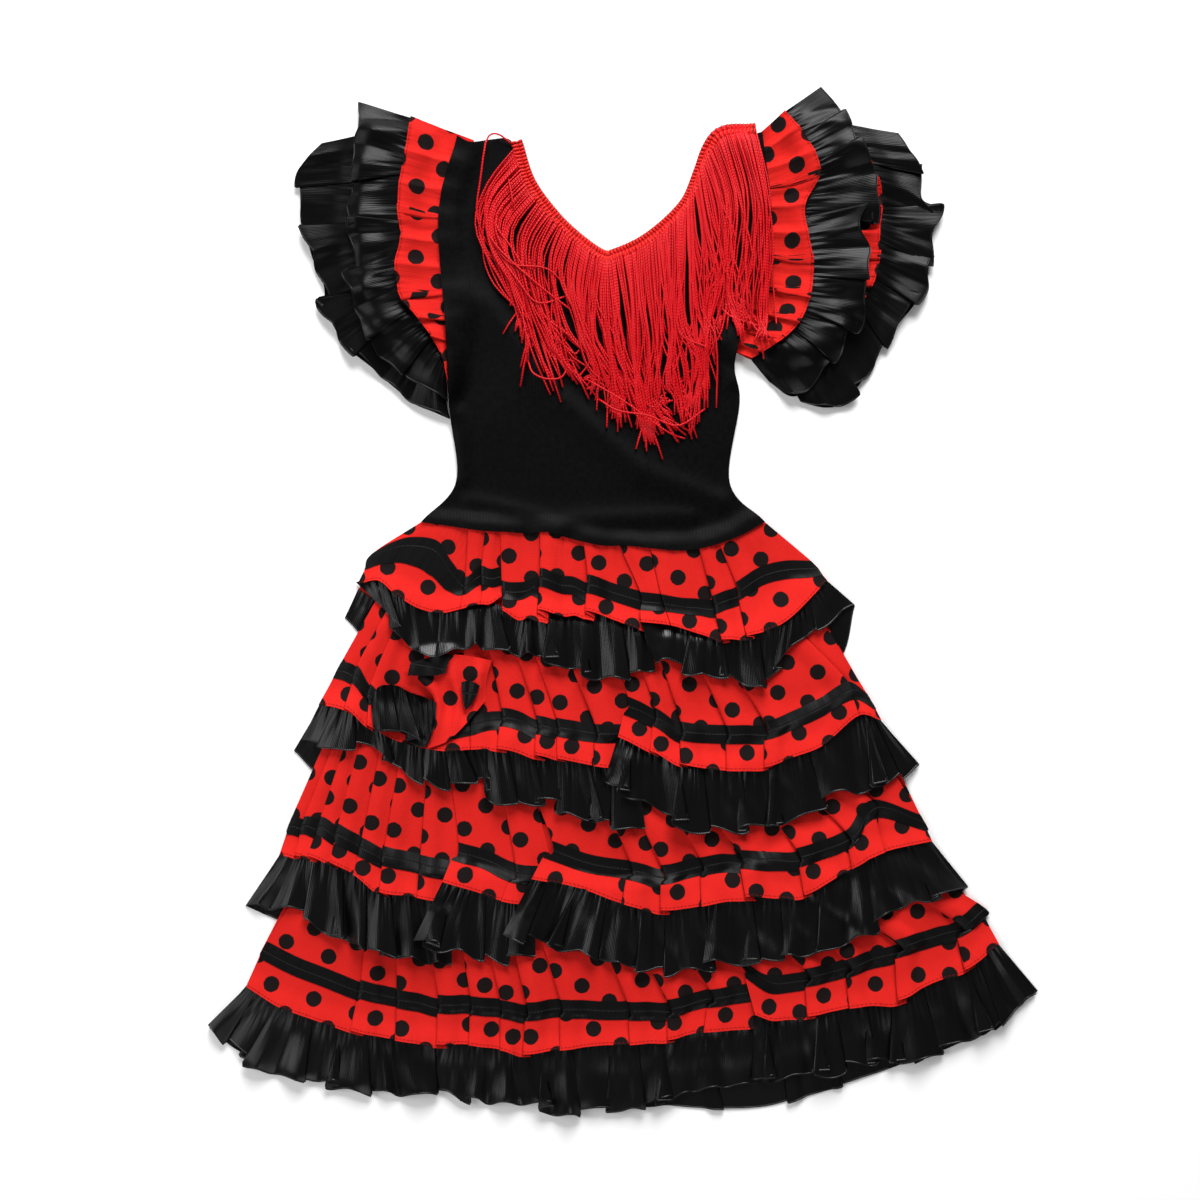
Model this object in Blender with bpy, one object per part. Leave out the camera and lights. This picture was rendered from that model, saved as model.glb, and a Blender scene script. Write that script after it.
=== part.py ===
"""A child's flamenco dress laid flat on its back, front side up.

The origin is under the middle of the dress, on the surface it lies on. +X points to the
right sleeve in view, +Y to the shoulders and +Z up, out of the dress's front.
Lengths in the tables are millimetres.
"""

import math

import bpy
import numpy as np

# Cloth
COTTON = 1.0
SATIN = 1.0
JERSEY = 1.2
SEAM_GAP = 0.3
RIBBON_WIDTH = 15.0
SEAM_LAP = 2.5
ARMHOLE_LAP = 7.0
TOP_LAP = 6.0

# Ruffles: how high a wave stands at the free edge, and how far it pushes that edge
FRONT_WAVE = 10.0
BACK_WAVE = 1.2
SLEEVE_WAVE = 9.0
SLEEVE_BACK_WAVE = 1.0
WAVE_REACH = 1.8
WAVE_LEAN = 1.2
WAVE_STEPS = 3
WAVE_START = 0.42
WAVE_SWELL = 0.55
WAVE_UNEVEN = 0.22
WAVE_BEAT = 2.4
FULL_PLEAT = 4.0
FULL_WIDTH = 38.0
STEEPEST = 2.0

# Pleats: the share of a flap that drops to the next one, how high its middle stands, and the
# share of its height at the top, at both edges of the ribbon and at the seam
PLEAT_DROP = 0.12
PLEAT_MIDDLE = 0.4
PLEAT_SHARES = (0.4, 1.0, 0.95, 0.75)

# Folds of the sleeves: where one ends, the share of its height from armhole to seam, and how far
# down the sleeve the lower tier starts
FOLD_END = 0.75
FOLD_SHARES = (0.3, 0.9, 0.6)
LOWER_START = 0.35

# Folds of the part that has turned over, from its lower edge up and from its first row on
TURNED_SHARES = (0.5, 3.0, 4.0, 2.0)
TURNED_WAVES = (0.4, 1.0, 0.7, 1.1, 0.8, 1.0, 0.3)

# Braid and fringe
BRAID_WIDTH = 9.0
BRAID_THICK = 1.8
STRANDS = 50
STRAND_WIDE = 1.3
STRAND_HIGH = 1.2
STRAND_TIP = 0.8
STRAND_RINGS = 4
STRAND_UNEVEN = 0.10
STRAND_BEAT = 5.1

# The table that the cloth is laid on, as a grid of heights
CELL = 2.0
TABLE_HALF = 440.0
MIDDLE = (0.43, -0.61, 0.0)
ADD_SAMPLE = 1.8
LAY_SAMPLE = 2.5
LAY_ROUNDS = 80
LAY_SLACK = 0.03
LAY_PULL = 1.4

# Colours, linear
RED = (0.72, 0.024, 0.018, 1.0)
BLACK_SATIN = (0.010, 0.010, 0.012, 1.0)
BLACK_JERSEY = (0.008, 0.008, 0.008, 1.0)
FRINGE_RED = (0.76, 0.010, 0.016, 1.0)

# Each row of a tier is one fold line: x, y at its gathered top, at the ribbon, at the seam of
# the ruffle and at the free edge, then the pleat's height. A pleat with a minus drops to its right.
TIER_1_FRONT_LEFT = (
    (-162,   61, -201,   34, -213,   11, -201,    0,    2),
    (-142,   58, -167,   30, -178,   -2, -175,  -34,    3),
    (-134,   56, -142,   18, -153,  -12, -154,  -47,    3),
    (-122,   54, -129,   14, -132,   -9, -134,  -46,    4),
    (-110,   54, -113,   26, -113,   -5, -116,  -40,    4),
    ( -98,   52,  -96,   17,  -97,  -10,  -92,  -41,    3),
    ( -82,   51,  -78,   15,  -82,  -18,  -86,  -46,    5),
    ( -66,   51,  -66,   23,  -62,  -10,  -66,  -46,    3),
    ( -46,   50,  -48,   19,  -41,  -17,  -46,  -53,    4),
    ( -33,   45,  -30,   17,  -20,  -21,  -25,  -62,    5),
    ( -18,   42,  -10,   12,   -4,  -26,   -4,  -63,    3),
    (   7,   40,   26,    2,   23,  -29,   26,  -58,    2),
)

TIER_1_FRONT_RIGHT = (
    (  -2,   41,   14,    5,   14,  -19,   26,  -52,    4),
    (  23,   38,   31,    3,   39,  -22,   39,  -51,    3),
    (  42,   38,   50,    0,   62,  -29,   60,  -62,    4),
    (  62,   39,   72,    2,   79,  -33,   79,  -61,    4),
    (  78,   43,   91,   13,   99,  -30,   99,  -68,    3),
    (  92,   48,  110,   25,  118,  -25,  119,  -66,    4),
    ( 103,   55,  130,   30,  136,  -14,  134,  -40,    3),
    ( 114,   61,  151,   30,  164,   14,  186,   -5,    2),
)

TIER_2_FRONT_LEFT = (
    (-196,    2, -226,  -51, -244,  -86, -258, -114,    2),
    (-185,   -3, -213,  -54, -222,  -88, -228, -120,    3),
    (-175,   -6, -202,  -69, -204, -101, -201, -118,    4),
    (-162,  -11, -175,  -93, -178, -115, -180, -136,    2),
    (-146,  -16, -150,  -99, -146, -122, -146, -150,    3),
    (-130,  -18, -122,  -95, -121, -121, -114, -146,    4),
    (-113,  -14,  -97,  -88, -100, -120,  -97, -162,    4),
    ( -94,  -18,  -69,  -94,  -70, -125,  -66, -163,    4),
    ( -78,  -22,  -53,  -96,  -52, -128,  -47, -168,    4),
    ( -54,  -24,  -22, -101,  -23, -134,  -18, -178,    4),
    ( -22,  -29,   18, -101,   12, -139,   18, -184,    2),
)

TIER_2_FRONT_RIGHT = (
    ( -15,  -27,    4,  -79,   -4, -111,  -15, -145,    5),
    (   7,  -34,   26,  -88,   22, -122,   22, -166,    3),
    (  26,  -36,   47,  -99,   46, -132,   47, -179,    4),
    (  55,  -40,   83, -102,   83, -138,   83, -186,    4),
    (  79,  -42,  114,  -99,  113, -135,  116, -182,    4),
    (  98,  -38,  138,  -90,  136, -127,  142, -174,    3),
    ( 114,  -30,  159,  -80,  161, -117,  170, -157,    4),
    ( 130,  -16,  180,  -67,  188,  -94,  193, -154,   -4),
    ( 146,    5,  196,  -77,  207,  -98,  238, -134,    2),
)

TIER_3_FRONT_LEFT = (
    (-228,  -91, -266, -176, -275, -207, -302, -246,    2),
    (-222,  -94, -255, -175, -263, -206, -284, -249,    4),
    (-215,  -96, -242, -175, -252, -206, -255, -251,    4),
    (-206,  -99, -228, -181, -234, -211, -239, -266,    3),
    (-190, -102, -209, -192, -215, -221, -217, -274,    4),
    (-174, -106, -191, -199, -194, -234, -198, -282,    4),
    (-154, -108, -162, -206, -164, -239, -158, -291,    4),
    (-129, -114, -126, -214, -137, -245, -137, -293,    2),
)

TIER_3_FRONT_MIDDLE = (
    (-142, -110, -132, -196, -144, -226, -167, -271,    5),
    (-122, -114, -108, -203, -119, -234, -129, -282,    4),
    (-105, -115,  -86, -213,  -97, -242, -101, -288,    3),
    ( -82, -118,  -57, -216,  -70, -246,  -70, -286,    2),
)

TIER_3_FRONT_RIGHT = (
    ( -89, -117,  -57, -195,  -73, -224,  -95, -267,    5),
    ( -60, -122,  -26, -206,  -34, -232,  -50, -278,    3),
    ( -33, -126,    6, -211,   -1, -244,   -7, -292,    4),
    ( -10, -131,   31, -214,   30, -249,   31, -298,    4),
    (  17, -136,   62, -208,   63, -246,   64, -294,    4),
    (  42, -139,   92, -202,   98, -238,   98, -290,    5),
    (  66, -142,  115, -204,  122, -240,  122, -288,    3),
    (  92, -138,  139, -200,  145, -237,  148, -285,    4),
    ( 119, -128,  178, -186,  183, -216,  186, -272,    4),
    ( 138, -112,  199, -162,  209, -203,  222, -248,   -4),
    ( 183,  -85,  239, -174,  248, -195,  277, -232,    2),
)

TIER_4_FRONT_LEFT = (
    (-234, -195, -286, -276, -302, -312, -333, -342,    2),
    (-218, -206, -255, -291, -271, -330, -287, -378,    3),
    (-199, -213, -210, -306, -218, -346, -222, -392,    4),
    (-182, -219, -181, -314, -182, -354, -177, -399,    4),
    (-162, -226, -148, -318, -149, -357, -153, -395,    4),
    (-138, -227, -122, -319, -123, -358, -126, -402,    4),
    (-119, -229,  -98, -322,  -98, -362, -100, -406,    4),
    (-100, -232,  -77, -324,  -80, -365,  -74, -406,    5),
    ( -78, -234,  -50, -322,  -50, -362,  -49, -411,    4),
    ( -50, -235,  -18, -324,  -18, -359,  -18, -411,    3),
    ( -33, -236,    4, -324,    6, -358,    7, -409,    4),
    ( -12, -238,   36, -322,   36, -354,   33, -402,    4),
    (  15, -237,   70, -314,   65, -348,   63, -395,    4),
    (  42, -235,  106, -309,  114, -346,  111, -390,    2),
)

TIER_4_FRONT_RIGHT = (
    (  33, -234,   94, -290,  106, -334,  103, -385,    5),
    (  55, -236,  118, -303,  123, -339,  127, -386,    3),
    (  81, -235,  146, -297,  148, -335,  151, -381,    4),
    ( 103, -226,  178, -290,  182, -329,  185, -374,    4),
    ( 124, -216,  218, -274,  220, -322,  225, -371,    5),
    ( 142, -203,  244, -267,  246, -310,  257, -362,    3),
    ( 159, -195,  266, -258,  274, -298,  287, -350,    4),
    ( 182, -186,  285, -245,  302, -278,  332, -318,    2),
)

TIER_1_BACK = (
    (-158,   60, -196,   34, -214,    5, -224,  -16,    1),
    (-122,   54, -146,   14, -170,  -22, -182,  -53,    1),
    ( -74,   50,  -82,    6,  -94,  -30,  -98,  -62,    1),
    ( -26,   42,  -26,   -2,  -28,  -38,  -28,  -74,    1),
    (  22,   39,   30,   -3,   36,  -40,   39,  -75,    1),
    (  70,   42,   86,    5,  100,  -30,  110,  -69,    1),
    (  98,   51,  130,   22,  153,   -6,  172,  -51,    1),
    ( 111,   60,  148,   29,  166,   12,  187,   -6,    1),
)

TIER_2_BACK = (
    (-190,    6, -225,  -53, -243,  -86, -265, -123,    1),
    (-178,   -2, -206,  -74, -222, -110, -238, -146,    1),
    (-138,  -11, -154,  -94, -166, -131, -174, -163,    1),
    ( -82,  -19,  -86, -110,  -94, -147,  -98, -181,    1),
    ( -26,  -26,  -22, -114,  -22, -152,  -22, -190,    1),
    (  30,  -27,   46, -112,   54, -150,   62, -187,    1),
    (  86,  -22,  114,  -99,  127, -138,  142, -174,    1),
    ( 130,   -6,  170,  -80,  188, -115,  209, -152,    1),
    ( 148,    6,  196,  -77,  207,  -98,  239, -134,    1),
)

TIER_3_BACK = (
    (-222,  -77, -266, -176, -277, -208, -304, -248,    1),
    (-206,  -85, -244, -190, -257, -224, -270, -262,    1),
    (-154,  -99, -174, -214, -182, -250, -190, -288,    1),
    ( -90, -112,  -98, -230, -102, -264, -106, -302,    1),
    ( -26, -117,  -18, -232,  -16, -269,  -14, -307,    1),
    (  46, -115,   70, -226,   79, -262,   87, -301,    1),
    ( 114, -106,  154, -206,  170, -242,  182, -278,    1),
    ( 166,  -91,  216, -182,  233, -216,  254, -250,    1),
    ( 194,  -80,  239, -174,  248, -195,  278, -232,    1),
)

TIER_4_BACK = (
    (-242, -192, -287, -276, -303, -312, -333, -346,    1),
    (-226, -202, -258, -294, -274, -331, -292, -374,    1),
    (-170, -224, -182, -318, -190, -355, -196, -392,    1),
    ( -98, -235,  -98, -330,  -98, -366,  -98, -400,    1),
    ( -18, -238,  -10, -331,   -6, -370,   -2, -405,    1),
    (  62, -234,   90, -325,  100, -365,  108, -410,    1),
    ( 134, -216,  186, -302,  202, -338,  214, -379,    1),
    ( 190, -192,  254, -278,  274, -314,  292, -349,    1),
    ( 218, -179,  282, -246,  302, -278,  334, -316,    1),
)

# Each row of a sleeve is one fold line: x, y at the armhole, at the upper seam and free edge and
# at the lower seam and free edge, then the fold's height
SLEEVE_LEFT = (
    (-131,  372, -170,  386, -212,  399, -201,  374, -241,  366,    2),
    (-139,  350, -174,  358, -214,  370, -210,  352, -258,  348,    4),
    (-146,  328, -179,  332, -216,  326, -212,  325, -260,  325,    4),
    (-148,  306, -180,  310, -222,  310, -214,  307, -258,  301,    3),
    (-147,  286, -178,  288, -216,  282, -212,  286, -250,  275,    4),
    (-144,  266, -182,  267, -217,  254, -210,  264, -241,  251,    4),
    (-139,  245, -178,  241, -212,  228, -206,  243, -238,  229,    4),
    (-139,  224, -166,  226, -202,  203, -193,  224, -222,  202,    3),
    (-140,  206, -154,  210, -182,  184, -177,  205, -198,  182,    3),
    (-141,  189, -145,  194, -158,  168, -159,  189, -170,  158,    3),
    (-141,  179, -142,  184, -141,  158, -146,  176, -139,  144,    2),
)

SLEEVE_RIGHT = (
    ( 111,  374,  130,  391,  159,  411,  172,  382,  221,  374,    2),
    ( 117,  362,  141,  377,  175,  394,  188,  366,  230,  362,    4),
    ( 120,  346,  153,  357,  184,  371,  199,  350,  238,  346,    4),
    ( 120,  330,  157,  338,  198,  349,  206,  333,  241,  322,    3),
    ( 118,  314,  146,  315,  204,  318,  208,  314,  252,  312,    4),
    ( 117,  294,  148,  293,  194,  296,  206,  293,  247,  278,    4),
    ( 116,  274,  152,  269,  196,  270,  206,  274,  245,  256,    4),
    ( 114,  250,  150,  243,  194,  238,  201,  253,  233,  234,    3),
    ( 110,  230,  142,  222,  178,  206,  190,  234,  213,  209,    3),
    ( 102,  214,  129,  208,  158,  178,  174,  214,  196,  178,    3),
    (  94,  205,  114,  198,  138,  162,  151,  198,  170,  154,    3),
    (  88,  199,  103,  192,  118,  174,  126,  186,  143,  158,    2),
)

# Each row of the bodice runs up one line: x, y at the waist, hip, middle, armpit, chest and top
BODICE = (
    (-162,   61, -134,   94, -139,  150, -141,  206, -148,  306, -133,  371),
    (-141,   58, -122,   94, -126,  150, -128,  210, -134,  302, -122,  366),
    (-114,   54, -101,   92, -105,  150, -108,  210, -113,  302, -106,  369),
    ( -94,   53,  -85,   91,  -89,  149,  -92,  210,  -96,  294,  -90,  368),
    ( -78,   52,  -71,   90,  -74,  149,  -77,  206,  -82,  269,  -82,  346),
    ( -62,   53,  -58,   90,  -62,  146,  -64,  198,  -69,  258,  -75,  333),
    ( -50,   50,  -46,   88,  -49,  144,  -51,  194,  -55,  246,  -61,  312),
    ( -36,   46,  -33,   86,  -34,  142,  -37,  190,  -40,  236,  -41,  292),
    ( -16,   42,  -14,   85,  -15,  138,  -16,  184,  -16,  226,  -14,  275),
    (   2,   42,    2,   84,    2,  138,    2,  186,    2,  229,    4,  280),
    (  22,   40,   19,   84,   20,  141,   21,  190,   22,  238,   28,  295),
    (  42,   38,   36,   85,   38,  144,   39,  194,   42,  246,   47,  314),
    (  58,   39,   50,   86,   53,  146,   55,  200,   59,  258,   59,  334),
    (  71,   42,   62,   88,   65,  149,   67,  205,   73,  278,   67,  362),
    (  84,   46,   71,   90,   74,  150,   77,  206,   86,  286,   76,  374),
    (  98,   52,   79,   91,   84,  152,   86,  202,  103,  290,   94,  369),
    ( 114,   61,   86,   93,   94,  158,   91,  197,  118,  294,  112,  374),
)

# Each row of the fringe is one strand: x, y at the braid, at three places down it and at its end
FRINGE = (
    ( -90,  365, -114,  330, -116,  298, -102,  262,  -82,  221),
    ( -79,  332, -101,  301,  -92,  264,  -76,  229,  -58,  168),
    ( -57,  302,  -70,  272,  -62,  238,  -49,  205,  -31,  168),
    ( -34,  281,  -39,  246,  -34,  214,  -26,  184,  -15,  155),
    ( -16,  270,  -18,  234,  -13,  205,   -6,  170,    4,  140),
    (  -4,  272,    1,  237,    5,  202,    9,  162,   14,  125),
    (  18,  282,   18,  238,   22,  202,   25,  166,   31,  125),
    (  39,  298,   37,  254,   38,  214,   41,  174,   46,  134),
    (  56,  317,   53,  270,   53,  230,   54,  189,   58,  139),
    (  66,  341,   68,  294,   66,  250,   65,  210,   64,  166),
    (  73,  360,   82,  318,   82,  282,   79,  246,   76,  208),
    (  83,  371,   97,  318,   97,  274,   94,  238,   92,  210),
    ( 106,  372,  116,  318,  119,  274,  119,  234,  116,  198),
)

# Each row of the turned part is one fold: x, y from its lower edge to its upper one
TURNED_FOLD = (
    (-156, -120, -150,  -86, -159,  -70, -175,  -56),
    (-140, -114, -137,  -85, -142,  -66, -148,  -46),
    (-124,  -99, -124,  -78, -126,  -62, -126,  -46),
    (-110,  -82, -110,  -69, -108,  -59, -105,  -50),
)


# Waves of each ruffle from its first row to its last
WAVES = {
    "TIER_1_FRONT_LEFT": 11, "TIER_1_FRONT_RIGHT": 8,
    "TIER_2_FRONT_LEFT": 12, "TIER_2_FRONT_RIGHT": 10,
    "TIER_3_FRONT_LEFT": 8, "TIER_3_FRONT_MIDDLE": 4, "TIER_3_FRONT_RIGHT": 14,
    "TIER_4_FRONT_LEFT": 19, "TIER_4_FRONT_RIGHT": 11,
}
BACK_WAVES = {"TIER_1_BACK": 9, "TIER_2_BACK": 11, "TIER_3_BACK": 12, "TIER_4_BACK": 14}
SLEEVE_WAVES = 9
SLEEVE_BACK_WAVES = 5

# Soft creases of the bodice front: from x, y to x, y, half width, height
CREASES = (
    (-114, 238, -50, 158, 9, 3.0),
    (-50, 158, 14, 102, 10, 3.4),
    (14, 102, 78, 78, 9, 2.6),
    (-74, 182, -2, 118, 7, 2.0),
    (-122, 78, -50, 62, 7, 2.2),
    (-50, 62, 54, 66, 8, 2.4),
    (70, 206, 86, 174, 7, 2.6),
    (-132, 150, -128, 96, 5, 2.4),
)


def spline(rows, at):
    """Smooth curve through the rows of a table, read at row numbers that may be fractions."""
    rows = np.asarray(rows, float)
    last = len(rows) - 1
    ends = np.vstack([2 * rows[0] - rows[1], rows, 2 * rows[-1] - rows[-2]])
    low = np.clip(np.floor(at).astype(int), 0, last - 1)
    t = (np.asarray(at, float) - low)[:, None]
    a, b, c, d = (ends[low + i] for i in range(4))
    return 0.5 * (2 * b + (c - a) * t + (2 * a - 5 * b + 4 * c - d) * t**2
                  + (3 * b - a - 3 * c + d) * t**3)


def station(rows, number, at):
    """x, y of one named place of the rows, such as the seam, along the piece."""
    return spline(np.asarray(rows, float)[:, 2 * number:2 * number + 2], at)


def towards(start, end, distance):
    """Points a set distance from start on the way to end."""
    way = end - start
    return start + way * (distance / np.linalg.norm(way, axis=-1, keepdims=True))


def upright(grid):
    """How much thicker a wall is straight up than across, at each point of a sheet that slopes."""
    du = np.diff(grid, axis=0)
    dv = np.diff(grid, axis=1)
    steep = np.ones(grid.shape[:2])
    for i, j in ((0, 0), (1, 0), (0, 1), (1, 1)):
        face = np.cross(du[:, j:j + dv.shape[1]], dv[i:i + du.shape[0]])
        slope = np.linalg.norm(face, axis=-1) / np.maximum(np.abs(face[..., 2]), 1e-6)
        part = steep[i:i + face.shape[0], j:j + face.shape[1]]
        np.maximum(part, slope, out=part)
    return np.minimum(steep, STEEPEST)


def triangles(grid):
    """The two triangles of each cell of a grid of points."""
    a, b = grid[:-1, :-1], grid[1:, :-1]
    c, d = grid[1:, 1:], grid[:-1, 1:]
    return np.concatenate([np.stack([a, b, c], 2).reshape(-1, 3, 3),
                           np.stack([a, c, d], 2).reshape(-1, 3, 3)])


def weights(shapes, apart):
    """Even spots over a triangle, as shares of its three corners."""
    longest = np.linalg.norm(shapes - np.roll(shapes, 1, axis=1), axis=-1).max()
    count = max(2, math.ceil(longest / apart))
    spots = [(i, j, count - i - j) for i in range(count + 1) for j in range(count + 1 - i)]
    return np.array(spots, float) / count


class Bed:
    """The height of whatever has been laid so far."""

    def __init__(self):
        cells = int(2 * TABLE_HALF / CELL)
        self.top = np.full((cells, cells), -SEAM_GAP)
        self.wide = self.top.copy()

    def cell(self, points):
        return tuple(np.floor((points[..., k] + TABLE_HALF) / CELL).astype(int) for k in (0, 1))

    def add(self, shapes):
        spots = np.einsum("sk,tkc->tsc", weights(shapes, ADD_SAMPLE), shapes).reshape(-1, 3)
        np.maximum.at(self.top, self.cell(spots), spots[:, 2])
        self.wide = self.top.copy()
        for k, l in ((1, 0), (-1, 0), (0, 1), (0, -1), (1, 1), (1, -1), (-1, 1), (-1, -1)):
            self.wide = np.maximum(self.wide, np.roll(self.top, (k, l), axis=(0, 1)))

    def under(self, points):
        return self.wide[self.cell(points)]


def lay(bed, flat, rise, thick):
    """Sets a flat pattern down on the bed: each point as low as lets the whole sheet clear it."""
    nu, nv = rise.shape
    height = bed.under(flat) + SEAM_GAP + thick / 2 + rise
    number = np.arange(nu * nv).reshape(nu, nv)
    corners = triangles(np.repeat(number[..., None], 3, -1).astype(float))[..., 0].astype(int)
    share = weights(np.dstack([flat, height]).reshape(-1, 3)[corners], LAY_SAMPLE)
    pull = LAY_PULL * share / (share**2).sum(-1, keepdims=True)
    spots = np.einsum("sk,tkc->tsc", share, flat.reshape(-1, 2)[corners])
    need = bed.under(spots) + SEAM_GAP
    moved = np.arange(len(corners))
    for _ in range(LAY_ROUNDS):
        under = shell(np.dstack([flat, height]), thick)[1][..., 2].reshape(-1)[corners[moved]]
        short = np.clip(need[moved] - under @ share.T + LAY_SLACK, 0, None)
        if short.size == 0 or short.max() < 2 * LAY_SLACK:
            break
        room = need[moved][..., None] + 2 * LAY_SLACK - under[:, None]
        lift = np.clip(np.minimum(short[..., None] * pull, room), 0, None)
        raised = np.zeros(nu * nv)
        np.maximum.at(raised, corners[moved].reshape(-1), lift.max(1).reshape(-1))
        height += raised.reshape(nu, nv)
        moved = np.nonzero((raised[corners] > 0).any(1))[0]
    return np.dstack([flat, height])


def shell(grid, thick):
    """Upper and lower points of a wall around a sheet."""
    half = np.zeros_like(grid)
    half[..., 2] = upright(grid) * thick / 2
    return grid + half, grid - half


def wall_mesh(upper, lower):
    """Points and faces of the closed wall between two sheets."""
    nu, nv = upper.shape[:2]
    points = np.concatenate([upper.reshape(-1, 3), lower.reshape(-1, 3)])
    under = nu * nv

    def at(i, j):
        return i * nv + j

    faces = []
    for i in range(nu - 1):
        for j in range(nv - 1):
            a, b, c, d = at(i, j), at(i + 1, j), at(i + 1, j + 1), at(i, j + 1)
            faces += [(a, b, c), (a, c, d)]
            faces += [(under + c, under + b, under + a), (under + d, under + c, under + a)]
    rim = [(at(i, 0), at(i + 1, 0)) for i in range(nu - 1)]
    rim += [(at(nu - 1, j), at(nu - 1, j + 1)) for j in range(nv - 1)]
    rim += [(at(i + 1, nv - 1), at(i, nv - 1)) for i in range(nu - 2, -1, -1)]
    rim += [(at(0, j + 1), at(0, j)) for j in range(nv - 2, -1, -1)]
    for a, b in rim:
        faces += [(b, a, under + a), (b, under + a, under + b)]
    return points, faces


def material(name, colour, rough, sheen=0.0):
    made = bpy.data.materials.get(name) or bpy.data.materials.new(name)
    made.use_nodes = True
    surface = made.node_tree.nodes["Principled BSDF"]
    surface.inputs["Base Color"].default_value = colour
    surface.inputs["Roughness"].default_value = rough
    surface.inputs["Metallic"].default_value = 0.0
    surface.inputs["Sheen Weight"].default_value = sheen
    made.diffuse_color = colour
    return made


def build(name, points, faces, cloth):
    """One named solid, in metres, with its faces outwards."""
    signed = sum(np.dot(points[a], np.cross(points[b], points[c])) for a, b, c in faces)
    if signed < 0:
        faces = [face[::-1] for face in faces]
    mesh = bpy.data.meshes.new(name)
    mesh.from_pydata([tuple((p - MIDDLE) / 1000.0) for p in points], [], faces)
    mesh.materials.append(cloth)
    made = bpy.data.objects.new(name, mesh)
    bpy.context.scene.collection.objects.link(made)
    return made


def sheet(name, bed, flat, rise, thick, cloth):
    """Lays a pattern, builds its wall and leaves it on the bed."""
    grid = lay(bed, flat, rise, thick)
    upper, lower = shell(grid, thick)
    points, faces = wall_mesh(upper, lower)
    build(name, points, faces, cloth)
    bed.add(triangles(upper))
    return grid


def on_top(name, bed, panel, across, thick_under, thick, cloth):
    """A band sewn on a panel: the panel's own points, moved out."""
    rise = np.zeros_like(panel)
    rise[..., 2] = upright(panel)
    grid, rise = panel[:, across], rise[:, across]
    lower = grid + rise * (thick_under / 2 + SEAM_GAP)
    upper = lower + rise * thick
    build(name, *wall_mesh(upper, lower), cloth)
    bed.add(triangles(upper))


def pleat_columns(rows):
    """Where a pleated panel has its columns, and how high its pleats stand there."""
    at, height = [], []
    for i in range(len(rows) - 1):
        tall, after = rows[i][-1], rows[i + 1][-1]
        at.append(i)
        height.append(abs(tall))
        if tall < 0:
            at.append(i + PLEAT_DROP)
            height.append(0.0)
        at.append(i + 0.5)
        height.append(PLEAT_MIDDLE * max(tall, -after, 0))
        if after > 0:
            at.append(i + 1 - PLEAT_DROP)
            height.append(0.0)
    at.append(len(rows) - 1)
    height.append(abs(rows[-1][-1]))
    return np.array(at, float), np.array(height)


def panel_pattern(rows, at):
    """x, y of a tier: its gathered top, both edges of the ribbon, and its seam."""
    top, ribbon, seam = (station(rows, number, at) for number in (0, 1, 2))
    top = towards(top, ribbon, -TOP_LAP)
    low = towards(ribbon, seam, RIBBON_WIDTH)
    return np.stack([top, ribbon, low, seam], 1)


def evenly(line, count):
    """Row numbers that part a line of a table into even steps."""
    step = np.linalg.norm(np.diff(line, axis=0), axis=1)
    along = np.concatenate([[0], np.cumsum(step)])
    return np.interp(np.linspace(0, along[-1], count + 1), along,
                     np.linspace(0, len(line) - 1, len(line)))


def ruffle_pattern(rows, head, edge, waves, height, steps):
    """x, y and rise of a gathered strip between two places of the rows."""
    fine = np.linspace(0, len(rows) - 1, 12 * len(rows))
    at = np.interp(evenly(station(rows, edge, fine), waves * steps),
                   np.arange(len(fine)), fine)
    seam, hem = station(rows, head, at), station(rows, edge, at)
    number = np.arange(len(at)) / steps
    turn = 2 * math.pi * number
    uneven = 1 - WAVE_UNEVEN * (1 - np.sin(WAVE_BEAT * np.floor(number) + len(rows)))
    stand = np.interp(at, np.arange(len(rows)), [abs(row[-1]) for row in rows]) / FULL_PLEAT
    narrow = np.linalg.norm(hem - seam, axis=1) / FULL_WIDTH
    crest = (0.5 - 0.5 * np.cos(turn)) * uneven * np.clip(stand, 0, 1) * np.clip(narrow, 0, 1)
    way = hem - seam
    way = way / np.linalg.norm(way, axis=1, keepdims=True)
    side = np.stack([-way[:, 1], way[:, 0]], 1)
    hem = hem + way * (WAVE_REACH * np.cos(turn))[:, None]
    hem = hem + side * (WAVE_LEAN * np.sin(turn))[:, None]
    start = towards(seam, hem, -SEAM_LAP)
    middle = seam + WAVE_START * (hem - seam)
    flat = np.stack([start, middle, hem], 1)
    rise = np.stack([np.zeros(len(at)), WAVE_SWELL * height * crest, height * crest], 1)
    return flat, rise


def tier_front(bed, table, rows, name):
    """Ruffle, panel and ribbon of one stretch of a front tier, laid in that order."""
    flat, rise = ruffle_pattern(rows, 2, 3, WAVES[table], FRONT_WAVE, WAVE_STEPS)
    sheet("ruffle_" + name, bed, flat, rise, SATIN, satin)
    at, height = pleat_columns(rows)
    rise = height[:, None] * np.array(PLEAT_SHARES)
    grid = sheet("tier_" + name, bed, panel_pattern(rows, at), rise, COTTON, red)
    on_top("ribbon_" + name, bed, grid, slice(1, 3), COTTON, SATIN, satin)


def tier_back(bed, rows, waves, name):
    """Ribbon, panel and ruffle of a back tier, which lies on its outer side."""
    at = np.linspace(0, len(rows) - 1, 2 * len(rows) - 1)
    flat = panel_pattern(rows, at)
    still = np.zeros(flat.shape[:2])
    sheet("ribbon_" + name, bed, flat[:, 1:3], still[:, 1:3], SATIN, satin)
    sheet("tier_" + name, bed, flat, still, COTTON, red)
    flat, rise = ruffle_pattern(rows, 2, 3, waves, BACK_WAVE, 2)
    sheet("ruffle_" + name, bed, flat[:, (0, 2)], rise[:, (0, 2)], SATIN, satin)


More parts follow.
